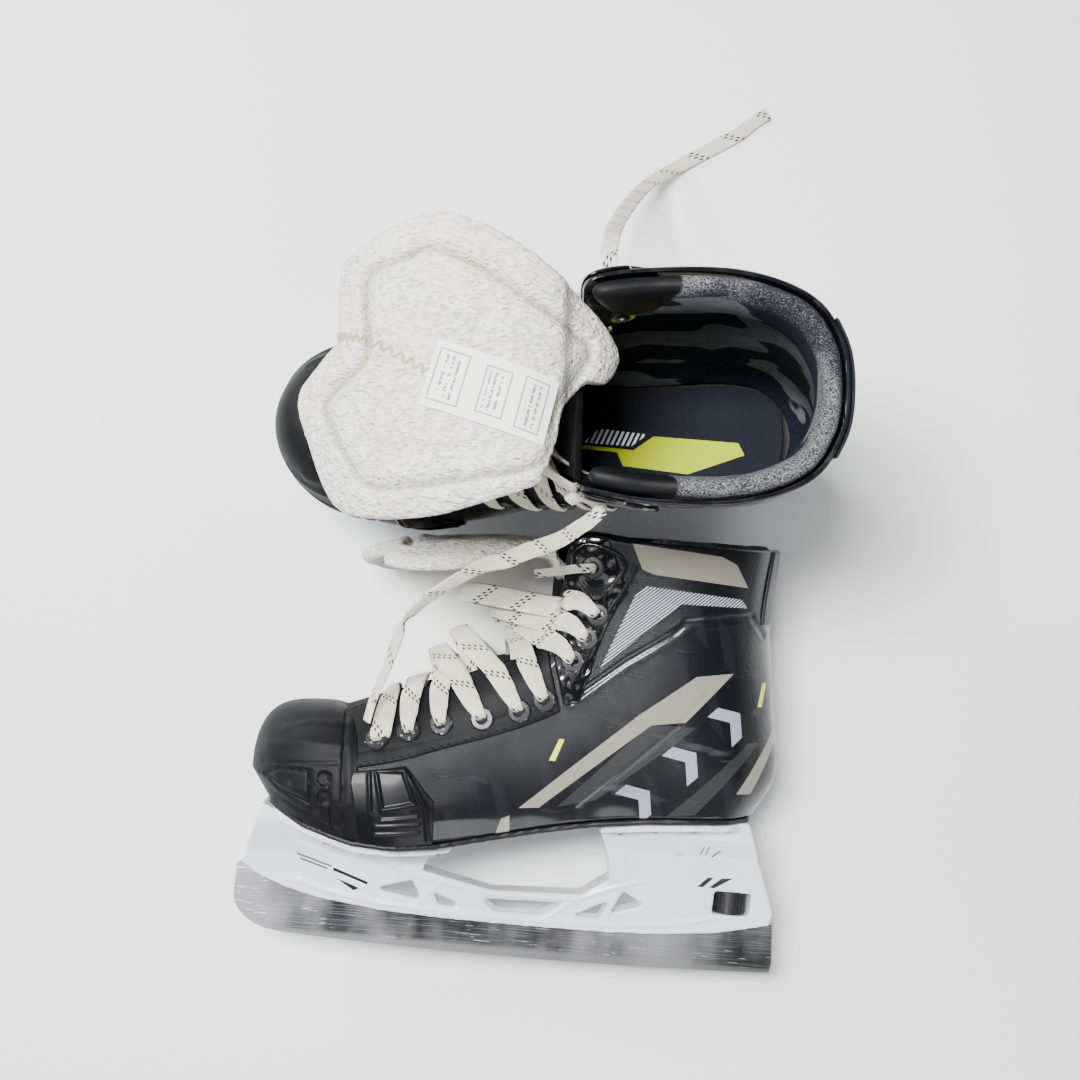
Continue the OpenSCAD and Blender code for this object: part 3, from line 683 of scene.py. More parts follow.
def steel_look(side):
    """Ground steel: lines along the runner, pale and dark clouds of painted reflection, and a bright edge
    where it was sharpened.
    """
    look = Look(f"{side}_ground_steel", (0.035, 0.035, 0.045), 0.3, metallic=1.0)
    look.vector = own_coordinates(look, side)
    z = look.add("SeparateXYZ", look.vector, out=2)
    lines = look.noise(0.5, 2, (60, 1, 1))
    reflection_clouds = look.noise(52, 4, (1, 1, 1.6))
    scratches = look.noise(1.2, 3, (9, 1, 0.6)).step(0.66, 0.72)
    # Pale and dark clouds of painted reflection, which also vary the roughness.
    look.paint(reflection_clouds.step(0.36, 0.62), (0.34, 0.34, 0.36))
    look.paint(lines.step(0.5, 0.72) * 0.5, (0.58, 0.58, 0.6))
    look.paint(scratches, (0.85, 0.85, 0.85))
    look.paint(z.step(6.0, 3.0), (0.36, 0.36, 0.37))
    look.set("Roughness", reflection_clouds * 0.35 + 0.18)
    look.bump(lines, 0.03, 0.6)
    look.bump(scratches, 0.03, 0.5)
    return look.mat


def plain_metal_look(name, colour, roughness, metallic=1.0, wear=(0.6, 0.6, 0.6)):
    look = Look(name, colour, roughness, metallic=metallic)
    look.vector = look.add("VectorMath", look.add("TexCoord", out=3), (1 / MM,) * 3, operation="MULTIPLY")
    chips = look.noise(1.6, 5).step(0.62, 0.68)
    look.paint(chips, wear)
    look.set("Roughness", chips * -0.1 + roughness)
    look.bump(look.noise(1.2, 3), 0.06, 0.5)
    return look.mat


def inside_look(name, heather_from):
    """Brushed melange knit, navy with paler patches, heather grey above a height, and smooth black
    leather at the front."""
    look = Look(name, (0.1, 0.1, 0.12), 0.95, specular_ior_level=0.16)
    x, _, z = look.own()
    yarn = look.noise(0.6, 5, (1.3, 1, 1.3))
    pale = look.mix(yarn.step(0.36, 0.7), (0.016, 0.017, 0.023), (0.19, 0.19, 0.2))
    dense = look.mix(yarn.step(0.46, 0.72), (0.009, 0.01, 0.016), (0.1, 0.1, 0.115))
    heather = look.mix(look.noise(42, 2).step(0.44, 0.56), dense, pale)
    look.colour = look.mix(yarn.step(0.46, 0.8), (0.004, 0.005, 0.013), (0.022, 0.025, 0.045))
    patch = look.noise(34, 1.8, (1.7, 1, 0.8)).step(0.52, 0.535)
    look.paint(patch * 0.8, look.mix(yarn, (0.07, 0.072, 0.085), (0.19, 0.19, 0.21)))
    look.paint((look.noise(18, 2) * 9 + z).step(heather_from, heather_from + 4), heather)
    front = (look.noise(6, 3) * 2.5 + (z * -0.45 + x)).step(-44.5, -46.5)
    look.paint(front, (0.0035, 0.0035, 0.0045))
    look.set("Roughness", front * -0.4 + 0.95)
    look.bump(yarn * (front * -1.0 + 1.0), 0.5, 0.7)
    look.bump(look.noise(9, 2), 0.7, 0.25)
    return look.mat


FOOTBED_YELLOW = [[(14, 4), (33, 6), (34, 8), (15, 6)], [(33, 6), (42, 7), (69, 19), (37, 15)],
                  [(42, 7), (52, 0), (94, 3), (97, 9), (69, 19)]]
FOOTBED_HATCH = [(17, 3), (25, -4), (49, -1), (41, 5)]


def footbed_look():
    look = Look("footbed_knit", (0.004, 0.005, 0.009), 0.9, specular_ior_level=0.2)
    x, y, _ = look.own()
    look.paint(look.noise(2, 4), (0.012, 0.014, 0.022))
    look.paint(look.inside(x, y, *FOOTBED_YELLOW), (0.42, 0.50, 0.002))
    stripes = (y * 0.45 + x).waves(2.7) > -0.1
    look.paint(stripes * look.inside(x, y, FOOTBED_HATCH), (0.75, 0.77, 0.80))
    look.bump(x.waves(1.1) * y.waves(1.1), 0.1, 0.5)
    return look.mat


def felt_look():
    look = Look("white_felt", (0.46, 0.455, 0.43), 1.0, sheen_weight=0.12, sheen_roughness=0.6)
    channel_shade = look.own("seam")[0].step(2.6, 0.3)
    look.own()
    fleece = look.noise(1.6, 6, (1.8, 0.8, 1))
    look.paint(fleece.step(0.28, 0.62), (0.84, 0.83, 0.77))
    look.paint(look.noise(30, 3).step(0.38, 0.66), look.mix(0.5, look.colour, (0.76, 0.7, 0.5)))
    # Painted shade in the sewn channel, darkest nearest the seam.
    look.paint(channel_shade * 0.7, (0.36, 0.33, 0.24))
    look.paint(look.noise(2.6, 2).step(0.8, 0.83), (0.15, 0.15, 0.16))   # lint
    look.bump(look.cells(2.4, (1.6, 0.9, 1)), 1.3, 0.8)
    look.bump(fleece, 2.2, 1.0)
    return look.mat


# The laces' dark tracers, in mm along the lace: their repeat, half width and places.
TRACER_EVERY, TRACER_HALF, TRACERS_AT = 23.0, 0.85, (6.0, 8.7)


def lace_look():
    """Flat waxed cotton: ribs along it, and pairs of dotted dark tracers that cross it aslant."""
    look = Look("waxed_lace", (0.64, 0.60, 0.44), 0.62, sheen_weight=0.15)
    s, v, _ = look.own("run")
    ribs = v.waves(0.95)
    slant = (v * -1.05 + s).math("FLOORED_MODULO", TRACER_EVERY)
    tracers = look.any_of([(abs(slant - at) < TRACER_HALF) * (v.waves(2.2, phase) > 0.0)
                           for at, phase in zip(TRACERS_AT, (0.0, math.pi))])
    look.paint(look.noise(4, 5), (0.82, 0.79, 0.65))
    look.paint(look.noise(13, 4).step(0.45, 0.75) * 0.45, (0.58, 0.47, 0.31))   # grime
    look.paint(look.noise(10, 1).step(0.74, 0.8) * 0.5, (0.75, 0.36, 0.25))     # a pink stain
    # Painted shade darkens the troughs between the ribs.
    look.paint(ribs.step(0.0, -0.9) * 0.45, (0.36, 0.31, 0.22))
    look.paint(tracers, (0.012, 0.014, 0.030))
    look.bump(ribs, 0.22, 0.7)
    look.bump(s.waves(0.8), 0.05, 0.3)
    return look.mat


# The label's printed boxes, as left, right, low and high in mm, their line and the blank round their text.
LABEL_BOXES = ((2, 15, 3, 25), (22, 33, 4, 24), (38, 48, 3, 25))
LABEL_LINE, LABEL_MARGIN = 0.6, 2


def label_look():
    """White woven label with printed boxes and rows of unreadable dashes."""
    look = Look("woven_label", (0.8, 0.8, 0.77), 0.75)
    a, b, _ = look.own("run")
    dashes = (a.waves(2.6) > 0.15) * (look.noise(1.5, 2, (3, 1, 1)) > 0.48)
    ink = []
    for left, right, low, high in LABEL_BOXES:
        whole, hole, core = (look.inside(a, b, [(left + d, low + d), (right - d, low + d),
                                                (right - d, high - d), (left + d, high - d)])
                             for d in (0, LABEL_LINE, LABEL_MARGIN))
        ink += [whole - hole, dashes * core]
    look.paint(look.any_of(ink) * 0.85, (0.11, 0.11, 0.13))
    look.bump(a.waves(0.5) * b.waves(0.5), 0.04, 0.5)
    return look.mat


def floor_look():
    return Look("pale_floor", (0.84, 0.84, 0.84), 0.75).mat


# ---- The stage ----

def stand(name, data, position, forward, up):
    """A camera or light at a position, which looks forward."""
    obj = bpy.data.objects.new(name, data)
    bpy.context.scene.collection.objects.link(obj)
    forward = Vector(forward).normalized()
    across = forward.cross(Vector(up)).normalized()
    turn = Matrix((across, across.cross(forward), -forward)).transposed()
    obj.matrix_world = Matrix.Translation(Vector(position)) @ turn.to_4x4()
    return obj


def add_camera():
    data = bpy.data.cameras.new("camera")
    data.sensor_width = data.sensor_height = 36
    data.angle = math.radians(CAMERA_ANGLE)
    data.clip_start = 0.01
    tilt = math.radians(CAMERA_TILT)
    bpy.context.scene.camera = stand("camera", data, CAMERA_AT, (0, math.sin(tilt), -math.cos(tilt)),
                                     (0, math.cos(tilt), math.sin(tilt)))


def add_light(name, position, target, size, power, colour=(1, 1, 1)):
    data = bpy.data.lights.new(name, "AREA")
    data.shape = "RECTANGLE"
    data.size, data.size_y = size
    data.energy = power
    data.color = colour
    stand(name, data, position, Vector(target) - Vector(position), (0, 1, 0.01))


def add_stage():
    add_light("ceiling_light", (-0.28, 0.22, 1.3), (0, 0.05, 0.1), (0.5, 0.26), 43)
    add_light("window_light", (-1.0, 0.8, 0.75), (0, 0.05, 0.08), (0.5, 0.5), 16, (0.94, 0.97, 1))
    add_light("front_light", (0.4, -1.1, 0.8), (0, 0.05, 0.08), (0.9, 0.3), 7)
    sky = bpy.data.lights.new("sky_light", "SUN")
    sky.energy, sky.angle = 1.0, math.radians(50)
    stand("sky_light", sky, (0, 0, 2), (0.25, -0.15, -1), (0, 1, 0))
    world = bpy.data.worlds.new("studio")
    world.use_nodes = True
    nodes, links = world.node_tree.nodes, world.node_tree.links
    nodes["Background"].inputs[0].default_value = (0.94, 0.96, 1, 1)
    split, fade = nodes.new("ShaderNodeSeparateXYZ"), nodes.new("ShaderNodeMapRange")
    fade.interpolation_type = "SMOOTHSTEP"
    for socket, value in zip(fade.inputs[1:], (0.10, 0.55, 0.72, 0.10)):
        socket.default_value = value
    links.new(nodes.new("ShaderNodeTexCoord").outputs["Generated"], split.inputs[0])
    links.new(split.outputs[2], fade.inputs[0])
    links.new(fade.outputs[0], nodes["Background"].inputs[1])
    bpy.context.scene.world = world
    bpy.ops.mesh.primitive_plane_add(size=30, location=(0, 0, 0))
    floor = bpy.context.object
    floor.name = "floor"
    floor.data.materials.append(floor_look())


# ---- Laces ----

def eyelet(s, i):
    """The station and row of an eyelet: on the outer side for s 1, on the inner side for -1."""
    u, w = EYELETS[i]
    return (u if s > 0 else 2 * HEEL - u), w


def hole(s, i, d):
    """The middle of an eyelet, d mm off the skin."""
    return off_skin(*eyelet(s, i), d)


def throat_edge(s, i):
    """The direction along the throat's edge at an eyelet, towards the toe."""
    u, _ = eyelet(s, i)
    return unit(skin(u - 0.3 * s, TOP - 0.5) - skin(u + 0.3 * s, TOP - 0.5))


def lace_piece(name, side, path, axis, width, look, count=90, thick=LACE_THICK, world=False):
    """A lace along a path: the piece and its middle line. axis and width hold at even steps along it."""
    line = drawn(path, count)
    size = np.interp(np.linspace(0, 1, count), np.linspace(0, 1, len(width)), width)
    shape, run = ribbon(line, drawn(axis, count), size, thick)
    return piece(name, side, shape, look, "laces", run=run, world=world), line


def crossing(s, i, apex):
    """The station where a band from an eyelet to an apex crosses the throat's edge, seen from the side."""
    u = np.linspace(0.3, 6.4, 90)
    u = u if s > 0 else 2 * HEEL - u
    rim, start = skin(u, np.full(len(u), float(TOP)))[:, [0, 2]], hole(s, i, 0)[[0, 2]]
    step = apex[[0, 2]] - start
    t = np.clip((rim - start) @ step / (step @ step), 0, 1)
    return u[np.argmin(np.linalg.norm(rim - start - t[:, None] * step, axis=1))]


def lace_strand(i, s):
    """The path and width axes of a band that comes out of eyelet i + 1 on side s, and goes inside the
    throat to eyelet i opposite."""
    own_side, up = np.array([0, -s, 0]), np.array([0, 0, 1])
    u0, w0 = eyelet(s, i + 1)
    start = hole(s, i + 1, 0)
    dx, dz = BAND_APEX[i]
    apex = start * [1, 0, 1] + [dx, -s * 3, dz] + np.array([-0.5, 0, 0.8]) * LACE_LIFT * s
    u1, u2 = crossing(s, i + 1, apex), crossing(-s, i, apex)
    edge = off_skin(u1, TOP, 2.4) + up * 1.6
    below = off_skin(u2, TOP, 0)
    apex[2] = max(apex[2], edge[2] + 3, below[2] + 3)
    low = below + own_side * 7 - up
    over = [off_skin(u0 + (u1 - u0) * t, w0 + (TOP - w0) * t, 3.4) for t in (0.3, 0.65)]
    path = [hole(s, i + 1, -6), hole(s, i + 1, 3.2) + (over[0] - start) * 0.12, *over, edge,
            edge * 0.45 + apex * 0.55 + own_side * 3, apex, apex * 0.45 + low * 0.55 + up * 3,
            low, hole(-s, i, -8.2)]
    a, b = throat_edge(s, i + 1), throat_edge(-s, i)
    return path, [a, a, a, a, a, a * 0.8 + b * 0.2, (a + b) / 2, b, b, b]


def add_laces(side, look):
    for i in range(len(BAND_APEX)):
        for s, name in ((1, "outer"), (-1, "inner")):
            lace_piece(f"lace_band_{i + 2}_{name}", side, *lace_strand(i, s), LACE_WIDTHS, look)
    up = [hole(s, 0, 3.4) + [2, s, 3.5] for s in (1, -1)]
    top = (up[0] + up[1]) / 2 + [3, 0, 20]
    rise = [(u + top) / 2 + [0, -s * 5, 4] for u, s in zip(up, (1, -1))]
    path = [hole(1, 0, -2.5), up[0], rise[0], top, rise[1], up[1], hole(-1, 0, -2.5)]
    a, b = throat_edge(1, 0), throat_edge(-1, 0)
    bar, _ = lace_piece("lace_bar", side, path, [a, a, a, (a + b) / 2, b, b, b],
                        LACE_WIDTHS + LACE_WIDTHS[::-1], look)
    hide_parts(f"{side}_laces")


# The free ends: piece, side, CAD node, route, how many of its points have which width axis, widths,
# steps, and thickness and declared width in mm.
FREE_ENDS = [
    ("outer", "right", "lace_end_outer", ROUTE_OUTER,
     [(5, [0.9, 0.1, 0.2]), (6, [0.8, -0.45, 0.1]), (6, [0.86, -0.5, 0])],
     [5.5, 8, 8, 8, 8, 8, 8, 7], 240, LACE_THICK, 8),
    ("inner", "right", "lace_end_inner", ROUTE_INNER,
     [(3, [0.2, 0.9, 0.1]), (6, [0.3, 0.75, 0.6]), (5, [0.45, 0.55, 0.7]), (5, [0.6, 0.4, 0.7])],
     [5.2, 7, 7.6, 7.6, 7.2, 7, 7, 6.5], 200, LACE_THICK, 7.5),
    ("tip", "left", "lace_end", ROUTE_LEFT, [(5, [0.1, -0.3, 0.9])], [5, 4.5, 4.2, 4.0], 60, 3.4, 5),
]


def add_free_ends(look):
    for name, side, node, route, axes, widths, steps, thick, wide in FREE_ENDS:
        in_row = side == "right"
        route = np.array(route, float) + ROW_SHIFT * in_row
        axis = sum(([axis] * count for count, axis in axes), [])
        obj, line = lace_piece(f"free_lace_{name}", side, route, axis, widths, look, steps, thick, in_row)
        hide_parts(f"{side}_{node}")
        path = (line * MM if in_row else place(side, line)).tolist()
        round(float(lengths(line)[-1]) * MM, 3)


# ---- Pieces of one skate ----

def both_panels(us, *rest):
    """The same panel on both sides of the boot, as one shape."""
    start, end, steps = us
    return joined([panel(us, *rest), panel((2 * HEEL - end, 2 * HEEL - start, steps), *rest)])


def mirrored(line):
    """The same places on the boot's other side."""
    return [(2 * HEEL - u, w) for u, w in line]


def profile(stations, rows):
    """A panel's edge: its row at each station, the same on both sides."""
    return lambda u: np.interp(np.minimum(u, 2 * HEEL - u), stations, rows)


QUARTER_RIDGES = [(SEAM, -0.9, 1.3), (SEAM, 0.25, 1.2, 2.6), ([(30, 84), (76, 132), (96, 160)], -0.35, 0.8)]


def add_quarter(side, look):
    shell = panel((0, 22, 440), 0, TOP, 150, -SHELL_T, -0.05, 1.1,
                  lambda p: ridges(p, *QUARTER_RIDGES) + 0.25 * rough(p, 26))
    piece("quarter", side, shell, look, "quarter", "quarter_shell")


def cap_surface(us, k):
    """The toe cap's surface: k from 0 to 1 above the sole, then 1 to 2 over the crown."""
    low, side, top = (spline(both_sides(row), us) for row in (CAP_SOLE, CAP_WIDE, CAP_CROWN))
    a = np.clip(k - 1, 0, 1) * math.pi / 2
    h, v = np.cos(a) ** (2 / CAP_POWER), np.sin(a) ** (2 / CAP_POWER)
    dome = np.stack([top[..., 0] + (side[..., 0] - top[..., 0]) * h, side[..., 1] * h,
                     side[..., 2] + (top[..., 2] - side[..., 2]) * v], -1)
    share = np.clip(k, 0, 1)[..., None]
    return np.where(k[..., None] < 1, low + (side - low) * share, dome)


# Grooves, an arrow-shaped recess and ridges on each side of the cap, and its two vents.
CAP_RIDGES = [
    ([(-90, 97), (-112, 94), (-128, 92)], -0.8, 0.9), ([(-86, 66), (-104, 71), (-124, 79)], -0.6, 1.1),
    ([(-103, 92), (-101.5, 76), (-118, 81), (-126, 86.5), (-118, 91), (-103, 92)], -1.3, 0.9),
    ([(-89, 114), (-106, 113), (-118, 109)], 0.9, 2.2),
    ([(-89, 105), (-110, 104), (-127, 100)], 0.9, 2.2)]
CAP_VENTS = ((-95.5, 89), (-94.5, 80))


def cap_relief(p):
    x, z = p[..., 0], p[..., 2]
    from_back = x + 0.10 * (z - 60)
    d = ridges(p, *CAP_RIDGES) - 0.9 * bell(from_back + 83.5, 0.9) + 0.5 * bell(from_back + 80.5, 1.6)
    d = d - bell(from_back + 89.5, 0.7) * (z < 92)
    for vent_x, vent_z in CAP_VENTS:
        away = np.hypot(x - vent_x, z - vent_z)
        d = d - 1.6 / (1 + np.exp((away - 3.3) * 5)) + 0.35 * bell(away - 4.3, 0.7)
    return d


def add_cap(side, look):
    k = np.concatenate([np.linspace(0, 1, 28)[:-1], 1 + np.linspace(0, 1, 90) ** 1.1])
    outer = cap_surface(*np.meshgrid(eased(0, 10, 211, 150, 1.2), k, indexing="ij"))
    inner = CAP_MIDDLE + 0.94 * (outer - CAP_MIDDLE)
    away = unit(outer * [0.75, 1, 1] - CAP_MIDDLE)
    edges = (outer[:, :1], outer[:1], outer[-1:])
    from_rim = np.min([np.linalg.norm(outer - edge, axis=-1) for edge in edges], 0)
    lift = cap_relief(outer) * np.clip(from_rim / 2, 0, 1) - 1.2 * (1 - rounded(from_rim, 1.2))
    outer = outer + away * lift[..., None]
    # Over the crown the two halves share the points of the middle line.
    n, m = outer.shape[:2]
    ids = np.arange(n * m).reshape(n, m)
    ids[n - n // 2:, -1] = ids[:n // 2, -1][::-1]
    rim = np.concatenate([ids[:, 0], ids[-1, 1:], ids[0, -2:0:-1]])
    piece("toe_cap_moulding", side, closed_sheet(outer, inner, ids, rim), look, "toe_cap", "toe_cap")


def stitches(line, depth, length=2.6, gap=1.4, radius=0.32):
    """Dashes of thread along a line of (u, w) places on the skin."""
    line = drawn(line, 60 * len(line))
    run = lengths(off_skin(*line.T, np.full(len(line), depth)))
    return [tube(off_skin(*at, depth + THREAD_ARCH), radius) for at in dashes(line, run, 1, length, gap)]


FACING_CREASE = [(-88, 100), (-60, 107), (-38, 114), (-14, 125), (5, 134)]
ANKLE_CREASE = [(41, 214), (44, 199), (33, 169), (26, 152)]
FACING_EDGE = profile([0, 10], [1.98, 2.68])
ANKLE_EDGE = profile([4.4, 4.8, 5.5, 6.65], [2.35, 2.3, 2.75, 3.3])


def ankle_relief(p):
    """Wrinkled leather, with fine diagonal ribs between the upper eyelets."""
    ribbed = np.zeros(p.shape[:-1])
    for (ua, wa), (ub, wb) in zip(EYELETS[6:9], EYELETS[7:10]):
        x, _, z = skin((ua + ub) / 2, (wa + wb) / 2)
        near = np.exp(-(((p[..., 0] - x) / 7) ** 4 + ((p[..., 2] - z) / 4.2) ** 4))
        ribbed = np.maximum(ribbed, near)
    ribs = 0.22 * np.sin((p[..., 0] + p[..., 2]) * 2 * math.pi / 2.1) - 0.25
    wrinkles = 0.8 * rough(p, 9) + 0.45 * rough(p, 3.5, 3)
    return wrinkles * (1 - ribbed) + ribs * ribbed + ridge(p, ANKLE_CREASE, -0.5, 0.8)


def add_facings(side, looks):
    facings = both_panels((0.05, 4.3, 110), FACING_EDGE, TOP, 60, ON_SKIN, FACING_TOP, 1.0,
                          lambda p: 0.18 * rough(p, 14) + ridge(p, FACING_CREASE, -0.25, 0.9))
    ankles = both_panels((4.4, 6.65, 90), ANKLE_EDGE, TOP, 130, ON_SKIN, ANKLE_TOP, 1.1, ankle_relief)
    threads, pipes = [], []
    for turned in (list, mirrored):
        for line in LOWER_STITCHES:
            threads += stitches(turned(line), FACING_TOP)
        for line in ANKLE_STITCHES:
            pipes += stitches(turned(line), ANKLE_TOP, 2.2, 1.2, 0.28)
        pipes += [piping(HOOK_PIPING, turned, 1.3), piping(EDGE_PIPING, turned, 1.1)]
    piece("lower_facing_panels", side, facings, looks["facing"], "lower_facings", "lower_facings")
    piece("lower_facing_stitches", side, joined(threads), looks["thread"], "lower_facings")
    piece("ankle_facing_panels", side, ankles, looks["patent"], "ankle_facings", "ankle_facings")
    piece("ankle_facing_piping", side, joined(pipes), looks["piping"], "ankle_facings")


def piping(offsets, turned, radius):
    """A raised cord near the top eyelet, through places that are dx, dz mm from it."""
    base = np.array([near_skin(*EYELETS[-1], dx, dz) for dx, dz in offsets])
    base[:, 1] = np.minimum(base[:, 1], TOP - 0.02)
    line = np.array(turned(drawn(base, 14 * len(base))))
    return tube(off_skin(*line.T, np.full(len(line), ANKLE_TOP + 0.1)), radius, 10)


# A frame, its surround and two bars on each wing.
WING_RIDGES = [([(-71, 95), (-58, 96), (-51, 81), (-66, 77), (-71, 95)], 1.0, 0.9),
               ([(-74.5, 97), (-71.5, 76), (-66, 72), (-49, 75)], 0.9, 0.9),
               ([(-58, 98), (-46, 80), (-43, 64)], 0.8, 1.0),
               ([(-68, 69), (-48, 71.5)], 0.7, 0.8), ([(-68, 65), (-48, 67.5)], 0.7, 0.8)]
WING_EDGE = profile([0.1, 1.2, 1.6, 1.75], [1.92, 1.92, 1.3, 1.1])


def add_wings(side, look):
    wings = both_panels((0.1, 1.75, 120), 0.02, WING_EDGE, 110, ON_SKIN, FACING_TOP, 0.9,
                        lambda p: ridges(p, *WING_RIDGES) + 0.12 * rough(p, 8))
    piece("wing_mouldings", side, wings, look, "outsole_wings", "outsole_wings")


def liner_edge(u):
    """The liner reaches the collar, and the throat's edge in front of it."""
    return 3.3 + 0.6 * np.clip((np.abs(u - HEEL) - 5.1) / 0.3, 0, 1)


def add_inside(side, looks):
    liner = panel((1, 21, 300), 0.12, liner_edge, 90, -2.5, -6.7, 1.6,
                  lambda p: 0.5 * rough(p, 20) + 0.25 * rough(p, 6, 5))
    piece("liner_fabric", side, liner, looks["liner"], "liner", "liner")
    collar = piece("collar_roll", side, collar_roll(), looks["collar"], "collar_pad", "collar_pad")
    rear = panel((9.6, 12.4, 90), 3.05, TOP, 50, ON_SKIN, FACING_TOP, 1.0,
                 lambda p: 0.15 * rough(p, 12))
    piece("rear_panel_cover", side, rear, looks["rear"], "rear_panel", "rear_panel")


def collar_roll():
    """The padded roll inside the top edge, crowned and lumpy, with rounded ends."""
    us = eased(5.95, 16.05, 260, 330, 5)
    u, a = np.meshgrid(us, around(48), indexing="ij")
    end = rounded(np.minimum(us - us[0], us[-1] - us)[:, None] * 32, 6)
    w = 3.62 + 0.37 * np.sin(a) * (0.85 + 0.15 * end)
    surface = off_skin(u, w, -7.5 + 5.0 * np.sign(np.cos(a)) * np.abs(np.cos(a)) ** 0.7 * end)
    surface[..., 2] += np.clip(np.sin(a), 0, 1) ** 3 * 1.6
    lumps = 0.35 * rough(surface, 13) + 0.2 * rough(surface, 5, 2)
    surface = surface + unit(surface - surface.mean(1, keepdims=True)) * (lumps * end)[..., None]
    n, m = a.shape
    return surface.reshape(-1, 3), quads(n, m, wrap=True).tolist() + ends(n, m)


def sole_outline(inset, n=260):
    """Half of the sole's outline, from the toe round one side to the heel, inset by some mm."""
    net, last = NET[0], NET[0][HEEL - 1]
    half = [[CAP_SOLE[5][0] + inset + 1, 0]]
    half += [[x + inset * 0.7, y - inset * 0.7] for x, y, _ in CAP_SOLE[4:0:-1]]
    half += [[x, y - inset] for x, y, _ in net[:HEEL - 1]]
    half += [[last[0] - inset * 0.7, last[1] - inset * 0.3], [net[HEEL][0] - inset, 0]]
    return drawn(half, n)


def add_footbed(side, look):
    edge = sole_outline(7.4)
    x, b = np.meshgrid(edge[:, 0], np.linspace(-1, 1, 61), indexing="ij")
    low = np.stack([x, edge[:, 1][:, None] * b, np.interp(x, SOLE_X, SOLE_Z) + 5.1], -1)
    top = low.copy()
    top[..., 2] += 3.3 + 0.9 * b ** 4 + 0.2 * rough(low, 12)
    piece("insole", side, closed_sheet(top, low), look, "footbed", "footbed")


def add_tongue_base(side, look):
    u, b = np.meshgrid(np.linspace(0.1, 5.35, 70), np.linspace(-1, 1, 41), indexing="ij")
    rim = spline(FULL[TOP], u)
    top = np.stack([rim[..., 0] - 1, b * (-rim[..., 1] - 3.2), rim[..., 2] - 2 + 3 * (1 - b ** 2)], -1)
    top = top + rough(top, 14)[..., None] * [-0.4, 0, 0.6]
    top[..., 2] -= b ** 8
    shape = closed_sheet(top, top + [3, 0, -4.5])
    piece("tongue_base_pad", side, shape, look, "tongue_base", "tongue_base")


# ---- Felt tongues ----

def felt_height(side, x, y):
    """The middle surface of a felt tongue above a place in the skate's own frame."""
    line = drawn([[34, 184], [22, 194]] + FELT[side], 120)
    z = np.interp(x, *line[np.argsort(line[:, 0])].T)
    far = np.clip((8 - x) / (8 - FELT[side][-1][0]), 0, 1)
    b = (y + FELT_ASIDE[side] * far) / 64
    sag = np.where(b < 0, FELT_SAG[side], 9)
    return z - sag * far * b ** 2 - 0.15 * np.clip(x - 8, 0, None)


def felt_lumps(side, grid):
    """The felt's uneven surface, and the channel of its sewn contour."""
    seam = closed_spline(felt_outline(side, FELT_SEAM), 300)
    near = np.min(np.linalg.norm(grid[..., None, :2] - seam, axis=-1), -1)
    lumps = sum(height * rough(grid, size, seed) for height, size, seed in FELT_LUMPS)
    return -2.9 * bell(near, 2.0) + 0.9 * bell(near - 5.0, 2.6) + lumps


def on_felt(side, x, y, lift):
    """Points lift mm above the felt's upper face."""
    grid = np.stack([x, y, felt_height(side, x, y)], -1)
    grid[..., 2] += FELT_T / 2 + felt_lumps(side, grid) + lift
    return grid


def felt_outline(side, outline):
    """An outline stretched to the length of that side's tongue."""
    points = np.array(outline, float)
    tip = FELT[side][-1][0] - 4
    ahead = points[:, 0] < 8
    points[ahead, 0] = 8 + (points[ahead, 0] - 8) * (8 - tip) / (8 - FELT_TIP)
    if side == "left":
        points[:, 1] *= np.where(points[:, 1] < 0, FELT_NARROWER, 1)
    return points


def closed_spline(points, n):
    """n evenly spread points of a smooth closed curve."""
    looped = np.concatenate([points[-2:], points, points[:3]])
    line = spline(looped, np.linspace(2, 2 + len(points), 12 * n))[:-1]
    run = lengths(line)
    at = np.linspace(0, run[-1], n, endpoint=False)
    return np.stack([np.interp(at, run, line[:, k]) for k in (0, 1)], -1)


def felt_shape(side):
    """A felt tongue's points and faces: spokes from its middle to its rounded edge, above and below."""
    edge = closed_spline(felt_outline(side, FELT_OUTLINE), 420)
    middle = np.array(FELT_MIDDLE) * ([1, 1] if side == "right" else [0.82, 1])
    near_edge = 1 - 0.10 * (1 - np.sin(np.linspace(0, 1, 16)[1:] * math.pi / 2))
    share = np.concatenate([np.linspace(0.03, 0.90, 46), near_edge])
    ring = edge[:, None] - middle
    x, y = np.moveaxis(middle + ring * share[:, None], -1, 0)
    from_rim = np.linalg.norm(ring, axis=-1) * (1 - share)
    swell = rounded(from_rim, 5.0)
    grid = np.stack([x, y, felt_height(side, x, y)], -1)
    lumps = felt_lumps(side, grid)
    top, low = grid.copy(), grid.copy()
    top[..., 2] += (FELT_T / 2 + lumps) * swell
    low[..., 2] -= (FELT_T / 2 - 0.4 * lumps) * swell
    top[..., :2] += unit(ring) * (0.5 * rough(grid, 2.0, 7) * (1 - swell) * (from_rim < 6))[..., None]
    n, m = x.shape
    q = n * m
    hubs = [[*middle, face[:, 0, 2].mean()] for face in (top, low)]
    face = quads(n + 1, m) % q
    spoke = np.arange(n) * m
    after, rim = np.roll(spoke, -1), spoke + m - 1
    rim_after = np.roll(rim, -1)
    faces = [*face, *(face[:, ::-1] + q), *np.stack([rim, rim + q, rim_after + q, rim_after], 1),
             *np.stack([spoke, after, np.full(n, 2 * q)], 1),
             *np.stack([after + q, spoke + q, np.full(n, 2 * q + 1)], 1)]
    return np.concatenate([top.reshape(-1, 3), low.reshape(-1, 3), hubs]), [f.tolist() for f in faces]


